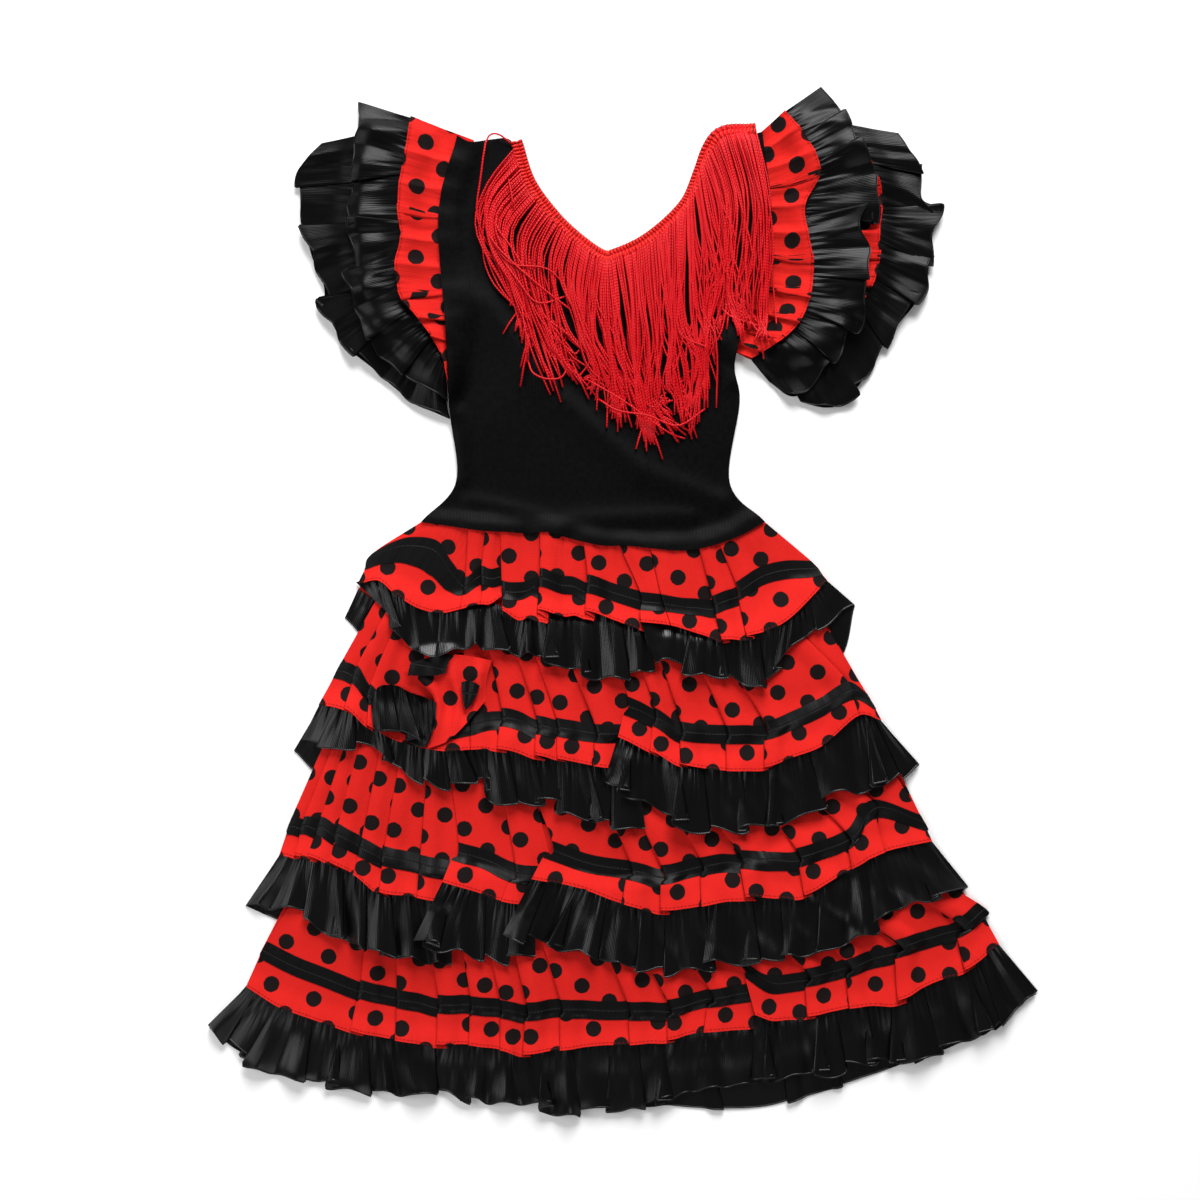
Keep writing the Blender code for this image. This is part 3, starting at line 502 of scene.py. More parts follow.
TIER_3_FRONT_MIDDLE = (
    (-142, -110, -132, -196, -144, -226, -167, -271,    5),
    (-122, -114, -108, -203, -119, -234, -129, -282,    4),
    (-105, -115,  -86, -213,  -97, -242, -101, -288,    3),
    ( -82, -118,  -57, -216,  -70, -246,  -70, -286,    2),
)

TIER_3_FRONT_RIGHT = (
    ( -89, -117,  -57, -195,  -73, -224,  -95, -267,    5),
    ( -60, -122,  -26, -206,  -34, -232,  -50, -278,    3),
    ( -33, -126,    6, -211,   -1, -244,   -7, -292,    4),
    ( -10, -131,   31, -214,   30, -249,   31, -298,    4),
    (  17, -136,   62, -208,   63, -246,   64, -294,    4),
    (  42, -139,   92, -202,   98, -238,   98, -290,    5),
    (  66, -142,  115, -204,  122, -240,  122, -288,    3),
    (  92, -138,  139, -200,  145, -237,  148, -285,    4),
    ( 119, -128,  178, -186,  183, -216,  186, -272,    4),
    ( 138, -112,  199, -162,  209, -203,  222, -248,   -4),
    ( 183,  -85,  239, -174,  248, -195,  277, -232,    2),
)

TIER_4_FRONT_LEFT = (
    (-234, -195, -286, -276, -302, -312, -333, -342,    2),
    (-218, -206, -255, -291, -271, -330, -287, -378,    3),
    (-199, -213, -210, -306, -218, -346, -222, -392,    4),
    (-182, -219, -181, -314, -182, -354, -177, -399,    4),
    (-162, -226, -148, -318, -149, -357, -153, -395,    4),
    (-138, -227, -122, -319, -123, -358, -126, -402,    4),
    (-119, -229,  -98, -322,  -98, -362, -100, -406,    4),
    (-100, -232,  -77, -324,  -80, -365,  -74, -406,    5),
    ( -78, -234,  -50, -322,  -50, -362,  -49, -411,    4),
    ( -50, -235,  -18, -324,  -18, -359,  -18, -411,    3),
    ( -33, -236,    4, -324,    6, -358,    7, -409,    4),
    ( -12, -238,   36, -322,   36, -354,   33, -402,    4),
    (  15, -237,   70, -314,   65, -348,   63, -395,    4),
    (  42, -235,  106, -309,  114, -346,  111, -390,    2),
)

TIER_4_FRONT_RIGHT = (
    (  33, -234,   94, -290,  106, -334,  103, -385,    5),
    (  55, -236,  118, -303,  123, -339,  127, -386,    3),
    (  81, -235,  146, -297,  148, -335,  151, -381,    4),
    ( 103, -226,  178, -290,  182, -329,  185, -374,    4),
    ( 124, -216,  218, -274,  220, -322,  225, -371,    5),
    ( 142, -203,  244, -267,  246, -310,  257, -362,    3),
    ( 159, -195,  266, -258,  274, -298,  287, -350,    4),
    ( 182, -186,  285, -245,  302, -278,  332, -318,    2),
)

TIER_1_BACK = (
    (-158,   60, -196,   34, -214,    5, -224,  -16,    1),
    (-122,   54, -146,   14, -170,  -22, -182,  -53,    1),
    ( -74,   50,  -82,    6,  -94,  -30,  -98,  -62,    1),
    ( -26,   42,  -26,   -2,  -28,  -38,  -28,  -74,    1),
    (  22,   39,   30,   -3,   36,  -40,   39,  -75,    1),
    (  70,   42,   86,    5,  100,  -30,  110,  -69,    1),
    (  98,   51,  130,   22,  153,   -6,  172,  -51,    1),
    ( 111,   60,  148,   29,  166,   12,  187,   -6,    1),
)

TIER_2_BACK = (
    (-190,    6, -225,  -53, -243,  -86, -265, -123,    1),
    (-178,   -2, -206,  -74, -222, -110, -238, -146,    1),
    (-138,  -11, -154,  -94, -166, -131, -174, -163,    1),
    ( -82,  -19,  -86, -110,  -94, -147,  -98, -181,    1),
    ( -26,  -26,  -22, -114,  -22, -152,  -22, -190,    1),
    (  30,  -27,   46, -112,   54, -150,   62, -187,    1),
    (  86,  -22,  114,  -99,  127, -138,  142, -174,    1),
    ( 130,   -6,  170,  -80,  188, -115,  209, -152,    1),
    ( 148,    6,  196,  -77,  207,  -98,  239, -134,    1),
)

TIER_3_BACK = (
    (-222,  -77, -266, -176, -277, -208, -304, -248,    1),
    (-206,  -85, -244, -190, -257, -224, -270, -262,    1),
    (-154,  -99, -174, -214, -182, -250, -190, -288,    1),
    ( -90, -112,  -98, -230, -102, -264, -106, -302,    1),
    ( -26, -117,  -18, -232,  -16, -269,  -14, -307,    1),
    (  46, -115,   70, -226,   79, -262,   87, -301,    1),
    ( 114, -106,  154, -206,  170, -242,  182, -278,    1),
    ( 166,  -91,  216, -182,  233, -216,  254, -250,    1),
    ( 194,  -80,  239, -174,  248, -195,  278, -232,    1),
)

TIER_4_BACK = (
    (-242, -192, -287, -276, -303, -312, -333, -346,    1),
    (-226, -202, -258, -294, -274, -331, -292, -374,    1),
    (-170, -224, -182, -318, -190, -355, -196, -392,    1),
    ( -98, -235,  -98, -330,  -98, -366,  -98, -400,    1),
    ( -18, -238,  -10, -331,   -6, -370,   -2, -405,    1),
    (  62, -234,   90, -325,  100, -365,  108, -410,    1),
    ( 134, -216,  186, -302,  202, -338,  214, -379,    1),
    ( 190, -192,  254, -278,  274, -314,  292, -349,    1),
    ( 218, -179,  282, -246,  302, -278,  334, -316,    1),
)

# Sleeves: the armhole, the seam and edge of the upper ruffle, the seam and edge of the lower one
SLEEVE_LEFT = (
    (-131,  372, -170,  386, -212,  399, -201,  374, -241,  366,    2),
    (-139,  350, -174,  358, -214,  370, -210,  352, -258,  348,    4),
    (-146,  328, -179,  332, -216,  326, -212,  325, -260,  325,    4),
    (-148,  306, -180,  310, -222,  310, -214,  307, -258,  301,    3),
    (-147,  286, -178,  288, -216,  282, -212,  286, -250,  275,    4),
    (-144,  266, -182,  267, -217,  254, -210,  264, -241,  251,    4),
    (-139,  245, -178,  241, -212,  228, -206,  243, -238,  229,    4),
    (-139,  224, -166,  226, -202,  203, -193,  224, -222,  202,    3),
    (-140,  206, -154,  210, -182,  184, -177,  205, -198,  182,    3),
    (-141,  189, -145,  194, -158,  168, -159,  189, -170,  158,    3),
    (-141,  179, -142,  184, -141,  158, -146,  176, -139,  144,    2),
)

SLEEVE_RIGHT = (
    ( 111,  374,  130,  391,  159,  411,  172,  382,  221,  374,    2),
    ( 117,  362,  141,  377,  175,  394,  188,  366,  230,  362,    4),
    ( 120,  346,  153,  357,  184,  371,  199,  350,  238,  346,    4),
    ( 120,  330,  157,  338,  198,  349,  206,  333,  241,  322,    3),
    ( 118,  314,  146,  315,  204,  318,  208,  314,  252,  312,    4),
    ( 117,  294,  148,  293,  194,  296,  206,  293,  247,  278,    4),
    ( 116,  274,  152,  269,  196,  270,  206,  274,  245,  256,    4),
    ( 114,  250,  150,  243,  194,  238,  201,  253,  233,  234,    3),
    ( 110,  230,  142,  222,  178,  206,  190,  234,  213,  209,    3),
    ( 102,  214,  129,  208,  158,  178,  174,  214,  196,  178,    3),
    (  94,  205,  114,  198,  138,  162,  151,  198,  170,  154,    3),
    (  88,  199,  103,  192,  118,  174,  126,  186,  143,  158,    2),
)

# Bodice: six places from the waist to the neck and shoulders, one row for each upright line
BODICE = (
    (-162,   61, -134,   94, -139,  150, -141,  206, -148,  306, -133,  371),
    (-141,   58, -122,   94, -126,  150, -128,  210, -134,  302, -122,  366),
    (-114,   54, -101,   92, -105,  150, -108,  210, -113,  302, -106,  369),
    ( -94,   53,  -85,   91,  -89,  149,  -92,  210,  -96,  294,  -90,  368),
    ( -78,   52,  -71,   90,  -74,  149,  -77,  206,  -82,  269,  -82,  346),
    ( -62,   53,  -58,   90,  -62,  146,  -64,  198,  -69,  258,  -75,  333),
    ( -50,   50,  -46,   88,  -49,  144,  -51,  194,  -55,  246,  -61,  312),
    ( -36,   46,  -33,   86,  -34,  142,  -37,  190,  -40,  236,  -41,  292),
    ( -16,   42,  -14,   85,  -15,  138,  -16,  184,  -16,  226,  -14,  275),
    (   2,   42,    2,   84,    2,  138,    2,  186,    2,  229,    4,  280),
    (  22,   40,   19,   84,   20,  141,   21,  190,   22,  238,   28,  295),
    (  42,   38,   36,   85,   38,  144,   39,  194,   42,  246,   47,  314),
    (  58,   39,   50,   86,   53,  146,   55,  200,   59,  258,   59,  334),
    (  71,   42,   62,   88,   65,  149,   67,  205,   73,  278,   67,  362),
    (  84,   46,   71,   90,   74,  150,   77,  206,   86,  286,   76,  374),
    (  98,   52,   79,   91,   84,  152,   86,  202,  103,  290,   94,  369),
    ( 114,   61,   86,   93,   94,  158,   91,  197,  118,  294,  112,  374),
)

# Fringe: five places from the neck to the end of the cords
FRINGE = (
    ( -90,  365, -114,  330, -116,  298, -102,  262,  -82,  221),
    ( -79,  332, -101,  301,  -92,  264,  -76,  229,  -58,  168),
    ( -57,  302,  -70,  272,  -62,  238,  -49,  205,  -31,  168),
    ( -34,  281,  -39,  246,  -34,  214,  -26,  184,  -15,  155),
    ( -16,  270,  -18,  234,  -13,  205,   -6,  170,    4,  140),
    (  -4,  272,    1,  237,    5,  202,    9,  162,   14,  125),
    (  18,  282,   18,  238,   22,  202,   25,  166,   31,  125),
    (  39,  298,   37,  254,   38,  214,   41,  174,   46,  134),
    (  56,  317,   53,  270,   53,  230,   54,  189,   58,  139),
    (  66,  341,   68,  294,   66,  250,   65,  210,   64,  166),
    (  73,  360,   82,  318,   82,  282,   79,  246,   76,  208),
    (  83,  371,   97,  318,   97,  274,   94,  238,   92,  210),
    ( 106,  372,  116,  318,  119,  274,  119,  234,  116,  198),
)

# The lobe of the second tier that has turned over, from its lower edge up
TURNED_FOLD = (
    (-156, -120, -150,  -86, -159,  -70, -175,  -56),
    (-140, -114, -137,  -85, -142,  -66, -148,  -46),
    (-124,  -99, -124,  -78, -126,  -62, -126,  -46),
    (-110,  -82, -110,  -69, -108,  -59, -105,  -50),
)

# Waves of each ruffle from its first row to its last
WAVES = {
    "1_front_left": 11, "1_front_right": 8, "2_front_left": 12, "2_front_right": 10,
    "3_front_left": 8, "3_front_middle": 4, "3_front_right": 14, "4_front_left": 19,
    "4_front_right": 11, "1_back": 9, "2_back": 11, "3_back": 12, "4_back": 14,
}

# The fold lines at which the cloth is really creased; it runs on smoothly over the others
CREASED = {
    "1_front_left": (5, 6, 7, 9, 11), "1_front_right": (1, 3, 4),
    "2_front_left": (1, 2, 5, 6, 7, 8, 9), "2_front_right": (1, 2, 3, 4, 7),
    "3_front_left": (1, 2, 3, 4, 5, 6), "3_front_middle": (2,),
    "3_front_right": (2, 3, 4, 5, 7, 8, 9), "4_front_left": (2, 3, 4, 5, 6, 7, 8, 10, 11, 12),
    "4_front_right": (2, 3, 4, 6),
}

# How far the cloth ends below the next flap's edge, in mm, at some fold lines of the tiers
JOGS = {
    "1_front_left": {7: -11, 9: 10, 11: 7}, "1_front_right": {3: 3, 4: 4},
    "2_front_left": {1: 2, 2: 3, 6: 3, 7: 4, 8: 2}, "2_front_right": {1: 2, 2: 3, 4: 3},
    "3_front_left": {1: 3, 2: 4, 3: 3, 5: 3}, "3_front_right": {3: 4, 5: 4, 7: 3},
    "4_front_left": {2: 3, 4: 4, 7: 3, 11: 3}, "4_front_right": {2: 3, 4: 5, 6: 3},
}

# Where the ribbon lies doubled, its width in mm at some fold lines
WIDER = {"1_front_left": {1: 17, 2: 22, 3: 28, 4: 24}}

# %% [markdown]
# ## Curves through fold lines
# A table has a row for each fold, and cloth between two folds is a smooth curve. A Catmull-Rom
# spline passes through every row, so the pieces meet the places that were measured.

# %% Curves
def spline(rows, at):
    rows = np.asarray(rows, float)
    last = len(rows) - 1
    ends = np.vstack([2 * rows[0] - rows[1], rows, 2 * rows[-1] - rows[-2]])
    low = np.clip(np.floor(at).astype(int), 0, last - 1)
    t = (np.asarray(at, float) - low)[:, None]
    a, b, c, d = (ends[low + i] for i in range(4))
    return 0.5 * (2 * b + (c - a) * t + (2 * a - 5 * b + 4 * c - d) * t**2
                  + (3 * b - a - 3 * c + d) * t**3)


def station(rows, number, at):
    """x, y of one named place of the rows, such as the seam, along the piece."""
    return spline(np.asarray(rows, float)[:, 2 * number:2 * number + 2], at)


def finely(rows, steps):
    """Row numbers that part a table into small steps."""
    return np.linspace(0, len(rows) - 1, steps * len(rows))


def towards(start, end, distance):
    way = end - start
    return start + way * (distance / np.linalg.norm(way, axis=-1, keepdims=True))


def travelled(points, axis=0):
    """Millimetres passed along one axis of a grid of points, from nought."""
    step = np.linalg.norm(np.diff(points, axis=axis), axis=-1)
    return np.concatenate([np.zeros_like(step.take([0], axis)), np.cumsum(step, axis)], axis)


def read_off(at, places, values):
    """x, y between the known places of a line."""
    return np.stack([np.interp(at, places, values[:, k]) for k in (0, 1)], -1)


def evenly(line, count):
    """Row numbers that part a line into even steps."""
    along = travelled(line)
    return np.interp(np.linspace(0, along[-1], count + 1), along, np.arange(len(line)))


def down_curves(places, levels):
    """Smooth lines down a sheet through the places given for each column."""
    count = places.shape[1]
    flat = places.transpose(1, 0, 2).reshape(count, -1)
    return spline(flat, levels).reshape(len(levels), -1, 2).transpose(1, 0, 2)


def smooth(value):
    value = np.clip(value, 0, 1)
    return value * value * (3 - 2 * value)


def soft_ground(flat, size, seed):
    """A slow unevenness of -1 to 1 over the table."""
    x, y = flat[..., 0] / size, flat[..., 1] / size
    return (np.sin(x + seed) * np.cos(y * 1.27 - seed * 2.1)
            + np.sin(x * 0.63 - y * 0.9 + seed * 3.3)) * 0.5


# %% [markdown]
# ## Laying a sheet on what is there
# Cloth that is laid down rests on the pieces below. A grid of heights, the bed, remembers the
# top of all that has been laid. It is widened by a few cells and then softened by as many, which
# gives a smooth ground that is never lower than what lies there. Each new sheet takes its height
# from that ground, so many layers stack up without a simulation.

# %% The bed
class Bed:
    def __init__(self):
        count = int(2 * TABLE_HALF / CELL)
        self.top = np.full((count, count), -GAP)
        self.ground = self.top.copy()

    def add(self, grid, thick):
        """Marks a sheet's upper face at its points and half way between them."""
        for u, v in ((0, 0), (0.5, 0), (0, 0.5), (0.5, 0.5)):
            a, b = grid[:-1, :-1], grid[1:, :-1]
            c, d = grid[:-1, 1:], grid[1:, 1:]
            spot = (a * (1 - u) + b * u) * (1 - v) + (c * (1 - u) + d * u) * v
            spot = spot.reshape(-1, 3)
            i, j = (np.floor((spot[:, k] + TABLE_HALF) / CELL).astype(int) for k in (0, 1))
            np.maximum.at(self.top, (i, j), spot[:, 2] + thick / 2)
        self.ground = self.top
        reach = range(-SUPPORT_REACH, SUPPORT_REACH + 1)
        for gather in (np.max, np.mean):
            for axis in (0, 1):
                self.ground = gather([np.roll(self.ground, s, axis) for s in reach], 0)

    def under(self, flat):
        """The ground's height under each place."""
        spot = (flat + TABLE_HALF) / CELL - 0.5
        low = np.floor(spot).astype(int)
        t = spot - low
        i, j = low[..., 0], low[..., 1]
        a = self.ground[i, j] * (1 - t[..., 0]) + self.ground[i + 1, j] * t[..., 0]
        b = self.ground[i, j + 1] * (1 - t[..., 0]) + self.ground[i + 1, j + 1] * t[..., 0]
        return a * (1 - t[..., 1]) + b * t[..., 1]


bed = Bed()
sheets = []
print("bed", bed.top.shape, "cells of", CELL, "mm")

# %% [markdown]
# ## A sheet of cloth as a mesh
# A sheet is a grid of points with a face in each cell. Mesh code fits it better than operators,
# because a thousand points come straight from the fold lines. A Solidify modifier then gives it
# its thickness on both sides, as cloth has. The size it was cut to is worked out too: its longest
# row, its longest column and the area of its flat cut.

# %% Making a sheet
LEAST_SIDE = 0.0101
LEAST_AREA_SHARE = 0.31


def lengths(grid, axis):
    return np.linalg.norm(np.diff(grid, axis=axis), axis=-1).sum(axis)


def cut_edges(mesh):
    """The cloth's cut edges, which are those with a single face."""
    edge_of_corner = np.zeros(len(mesh.loops), int)
    mesh.loops.foreach_get("edge_index", edge_of_corner)
    return np.bincount(edge_of_corner, minlength=len(mesh.edges)) == 1


def new_piece(name, node, mesh, kind):
    """An object of one finish, in the place of a plain solid."""
    mesh.polygons.foreach_set("use_smooth", np.ones(len(mesh.polygons), bool))
    mesh.materials.append(FINISHES[kind])
    piece = bpy.data.objects.new(name, mesh)
    bpy.context.scene.collection.objects.link(piece)
    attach(piece, "root")
    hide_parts(node)
    return piece


def mesh_sheet(name, grid, uv, edges):
    nu, nv = grid.shape[:2]
    points = (grid.reshape(-1, 3) - MIDDLE) / MM_IN_M
    number = np.arange(nu * nv).reshape(nu, nv)
    faces = np.stack([number[:-1, :-1], number[1:, :-1], number[1:, 1:], number[:-1, 1:]], -1)
    faces = faces.reshape(-1, 4)
    a, b, c = (points[faces[:, k]] for k in (0, 1, 2))
    if np.cross(b - a, c - a)[:, 2].sum() < 0:
        faces = faces[:, ::-1]
    mesh = bpy.data.meshes.new(name)
    mesh.from_pydata(points.tolist(), [], faces.tolist())
    corner = faces.reshape(-1)
    for layer, values in (("UVMap", uv), ("edges", edges)):
        flat = (np.dstack(values).reshape(-1, 2) / MM_IN_M)[corner]
        mesh.uv_layers.new(name=layer).data.foreach_set("uv", flat.reshape(-1))
    sharp = mesh.attributes.new("sharp_edge", "BOOLEAN", "EDGE")
    sharp.data.foreach_set("value", cut_edges(mesh))
    return mesh


def cloth(name, node, grid, uv, edges, kind, thick):
    name += "_cloth"
    piece = new_piece(name, node, mesh_sheet(name, grid, uv, edges), kind)
    wall = piece.modifiers.new("wall", "SOLIDIFY")
    wall.thickness = thick / MM_IN_M
    wall.offset = 0.0
    wide, long = (max(lengths(grid, axis).max() / MM_IN_M, LEAST_SIDE) for axis in (0, 1))
    a, b = grid[:-1, :-1], grid[1:, 1:]
    c, d = grid[1:, :-1], grid[:-1, 1:]
    area = 0.5 * np.linalg.norm(np.cross(b - a, d - c), axis=-1).sum() / MM_IN_M**2
    float(np.clip(area, LEAST_AREA_SHARE * wide * long, wide * long))
    sheets.append(name)


# %% [markdown]
# ## A pleated tier
# A knife pleat is a Z: the cloth runs to the right, turns back under the next flap, turns again at
# that flap's edge and goes on. From above, the edge is a crisp line and whatever is printed there
# is cut. So each fold gets three layers, a rounded edge and a small hidden return, and the UV map
# spends cloth on the part that doesn't show.

# %% Columns of a pleated tier
FOLD_DEPTH = 6.5
FOLD_SHARE = 0.4
EDGE_ROUND = 0.35
EDGE_HOLD = 7.0
EDGE_FALL = 13.0
FLAP_BULGE = 0.9
COLUMN_GAP = 2.4
LEAST_COLUMNS = 7
RETURN_HEIGHTS = (0.16, 0.32, 0.52, 0.80)
PANEL_LEVELS = np.concatenate([np.linspace(0, 1, 13), np.linspace(1, 2, 7)[1:],
                               np.linspace(2, 3, 7)[1:]])
RIBBON_SPAN = (PANEL_LEVELS >= 1.0) & (PANEL_LEVELS <= 2.0)


def flap_height(tall, away):
    """How high a flap stands, this far from the fold that carries it."""
    return tall * (1 - smooth((away - EDGE_HOLD) / EDGE_FALL))


def pleat_columns(rows, creased):
    """Where each column lies, how high it stands, and its flap, or -1 in a hidden return."""
    wide = np.linalg.norm(np.diff(np.asarray(rows, float)[:, 2:4], axis=0), axis=1)
    placed = np.concatenate([[0], np.cumsum(wide)])
    folds = [0] + list(creased) + [len(rows) - 1]
    columns = []
    for flap, (a, z) in enumerate(zip(folds, folds[1:])):
        tall, after = rows[a][-1], rows[z][-1]
        first, last = a == 0, z == len(rows) - 1
        begin, finish = placed[a], placed[z]
        if tall < 0 and not first:
            begin -= min(FOLD_DEPTH, FOLD_SHARE * wide[a - 1])
        if after > 0 and not last:
            finish += min(FOLD_DEPTH, FOLD_SHARE * wide[z])
        for spot in np.linspace(begin, finish, max(LEAST_COLUMNS, int((finish - begin) / COLUMN_GAP))):
            left = 0 if first else flap_height(max(tall, 0), spot - placed[a])
            right = 0 if last else flap_height(max(-after, 0), placed[z] - spot)
            share = (spot - begin) / (finish - begin)
            bulge = FLAP_BULGE * math.sin(math.pi * min(share * 1.15, 1.0))
            columns.append((spot, max(left, right) + bulge, flap))
        if last:
            break
        turn = EDGE_ROUND if after > 0 else -EDGE_ROUND
        foot = finish if after > 0 else placed[z] - min(FOLD_DEPTH, FOLD_SHARE * wide[z - 1])
        spots = (foot + 2 * turn, foot + turn, 0.5 * (foot + placed[z]), placed[z] - turn)
        back = [(spot, abs(after) * rise, -1) for spot, rise in zip(spots, RETURN_HEIGHTS)]
        columns += back if after > 0 else back[::-1]
    spots, heights, flaps = np.array(columns, float).T
    return np.interp(spots, placed, np.arange(len(rows))), heights, flaps, folds


# %% The flat cloth of a sheet
def cloth_map(grid, flap):
    """Where each point lies on the flat cloth, in mm, and how far it is from the top and from the
    seam. A flap is moved and turned as one, so that its dots stay round, and the returns between
    two flaps take what is left."""
    across, up = (np.full(grid.shape[:2], np.nan) for _ in (0, 1))
    spent = 0.0
    for number in range(int(flap.max()) + 1):
        inside = np.nonzero(flap == number)[0]
        span = slice(inside[0], inside[-1] + 1)
        part = grid[span, :, :2]
        way = (part[:, 0] - part[:, -1]).mean(0)
        way /= np.linalg.norm(way)
        part = part - part[:, -1].mean(0)
        right = part @ np.array([way[1], -way[0]])
        across[span] = spent + right - right.min()
        up[span] = part @ way
        spent += np.ptp(right) + FOLD_DEPTH
    known = ~np.isnan(across[:, 0])
    order = np.arange(len(grid))
    for values in (across, up):
        for j in range(grid.shape[1]):
            values[:, j] = np.interp(order, order[known], values[known, j])
    from_top = travelled(grid, 1)
    return across, up, from_top, from_top[:, -1:] - from_top


def one_flap(grid):
    return cloth_map(grid, np.zeros(len(grid)))


# %% Tier and ribbon
PLEAT_RISE = 0.95
PLEAT_SHARES = (0.45, 1.0, 0.95, 0.8)
TIER_UNEVEN = 0.8
TIER_UNEVEN_SIZE = 19.0


def jog_down(name, at, flap, folds):
    """How far each column of a tier hangs below its fold line."""
    jogs = JOGS.get(name, {})
    drop = np.full(len(at), np.nan)
    for number, z in enumerate(folds[1:]):
        inside = flap == number
        drop[inside] = jogs.get(z, 0) * smooth((at[inside] - (z - 1)))**2
    order, known = np.arange(len(at)), ~np.isnan(drop)
    return np.interp(order, order[known], drop[known])


def tier_panel(name, rows):
    """A pleated tier, laid on the bed."""
    at, tall, flap, folds = pleat_columns(rows, CREASED[name])
    top, ribbon, seam = (station(rows, number, at) for number in (0, 1, 2))
    drop = jog_down(name, at, flap, folds)
    ribbon[:, 1] -= drop
    seam[:, 1] -= drop
    top = towards(top, ribbon, -TOP_LAP)
    wider = WIDER.get(name, {})
    widths = [wider.get(number, RIBBON_WIDTH) for number in range(len(rows))]
    low = towards(ribbon, seam, np.interp(at, np.arange(len(rows)), widths)[:, None])
    flat = down_curves(np.stack([top, ribbon, low, seam], 1), PANEL_LEVELS)
    share = np.interp(PANEL_LEVELS, range(4), PLEAT_SHARES)
    bend = TIER_UNEVEN * (1 + soft_ground(flat, TIER_UNEVEN_SIZE, len(rows)))
    rise = PLEAT_RISE * tall[:, None] * share + bend
    grid = np.dstack([flat, bed.under(flat) + GAP + COTTON / 2 + rise])
    across, down, from_top, from_seam = cloth_map(grid, flap)
    cloth("tier_" + name, "tier_" + name, grid, (across, down), (from_top, from_seam),
          "cotton", COTTON)
    return grid, across


def outward(grid):
    """Which way the cloth's face looks at each point."""
    face = np.cross(np.gradient(grid, axis=0), np.gradient(grid, axis=1))
    face /= np.maximum(np.linalg.norm(face, axis=-1, keepdims=True), 1e-9)
    return face if face[..., 2].mean() > 0 else -face


def ribbon_on(name, panel, across):
    """Satin ribbon sewn on a tier: the tier's own points, moved out."""
    grid = (panel + outward(panel) * RIBBON_OFF)[:, RIBBON_SPAN]
    down = travelled(grid, 1)
    cloth("ribbon_" + name, "ribbon_" + name, grid, (across[:, RIBBON_SPAN], down), (down, down),
          "ribbon", RIBBON)
    return grid


# %% [markdown]
# ## A gathered ruffle
# A ruffle is a long strip gathered to a shorter seam. Near the seam it is all small creases; lower
# down they join into broad flat facets that meet in soft ridges. Two sums do this: a ramp up and
# down for each wave, which grows towards the edge, and quick ripples that fade from the seam. Here
# and there a fold has fallen over: the strip runs on, turns back under itself and turns again,
# more so towards the free edge, which then steps down. Each wave and fold has its own size,
# because a ruffle with even ones looks moulded.

# %% Ruffles
RUFFLE_LEVELS = 17

# Folds given one by one: share of the ruffle's length, overlap in mm, side, step of the edge in mm
FOLDS = {
    "ruffle_1_front_left": ((0.12, 9, 1, 2), (0.30, 7, -1, 2), (0.50, 11, 1, 4), (0.66, 13, -1, 4),
                            (0.78, 8, -1, 3), (0.90, 10, 1, 3)),
    "ruffle_1_front_right": ((0.14, 8, -1, 2), (0.30, 9, 1, 3), (0.46, 11, 1, 4), (0.58, 8, -1, 3),
                             (0.84, 13, -1, 3)),
    "sleeve_right_upper_ruffle_front": ((0.10, 9, -1, 3), (0.19, 10, -1, 4), (0.38, 17, -1, -6),
                                        (0.55, 8, 1, 2), (0.68, 13, 1, 5), (0.78, 9, 1, 3)),
    "sleeve_right_lower_ruffle_front": ((0.12, 8, 1, 3), (0.26, 12, -1, 4), (0.40, 9, 1, 3),
                                        (0.52, 10, 1, 4), (0.66, 11, 1, 5), (0.84, 10, -1, 4)),
    "sleeve_left_upper_ruffle_front": ((0.22, 12, 1, 5), (0.36, 7, -1, 2), (0.52, 14, -1, 5),
                                       (0.70, 9, 1, 3), (0.84, 8, 1, 2)),
    "sleeve_left_lower_ruffle_front": ((0.14, 8, 1, 2), (0.28, 10, -1, 3), (0.50, 14, -1, 5),
                                       (0.66, 9, 1, 3)),
}
COLUMN_STEP = 1.3
LEAST_STEPS = 24
LAP_RISE = 2.4
LAP_RETURNS = ((0.53, 0.8), (0.25, 0.6), (-0.25, 0.4), (-0.53, 0.16))
RUFFLE_DEPTH = 38.0
RIPPLE_LENGTH = 7.5
GATHER_FADE = 7.5
EDGE_REACH = 2.0
STEPS_BETWEEN_ROWS = 14


def uneven(number, seed):
    """A different value of 0 to 1 for each wave."""
    spot = np.sin(np.floor(number) * 12.9898 + seed * 78.233) * 43758.5453
    return spot - np.floor(spot)


def between(number, seed):
    """The same, gliding from one wave to the next."""
    part = smooth(number - np.floor(number))
    return uneven(number, seed) * (1 - part) + uneven(number + 1, seed) * part


def lapped_folds(waves, seed):
    """Places along a ruffle where a fold has fallen over: wave number, overlap in mm, the side it
    fell to, and how far its edge hangs below the next one."""
    folds = []
    number = 0.45 + 0.5 * uneven(0, seed + 11)
    while number < waves - 0.35:
        draw = [uneven(number * 7, seed + k) for k in range(12, 17)]
        if draw[0] > 0.25:
            side = 1 if draw[2] > 0.45 else -1
            folds.append((number, 6.0 + 9.0 * draw[1], side, 1.5 + 4.0 * draw[3]))
        number += 0.7 + 0.7 * draw[4]
    return folds


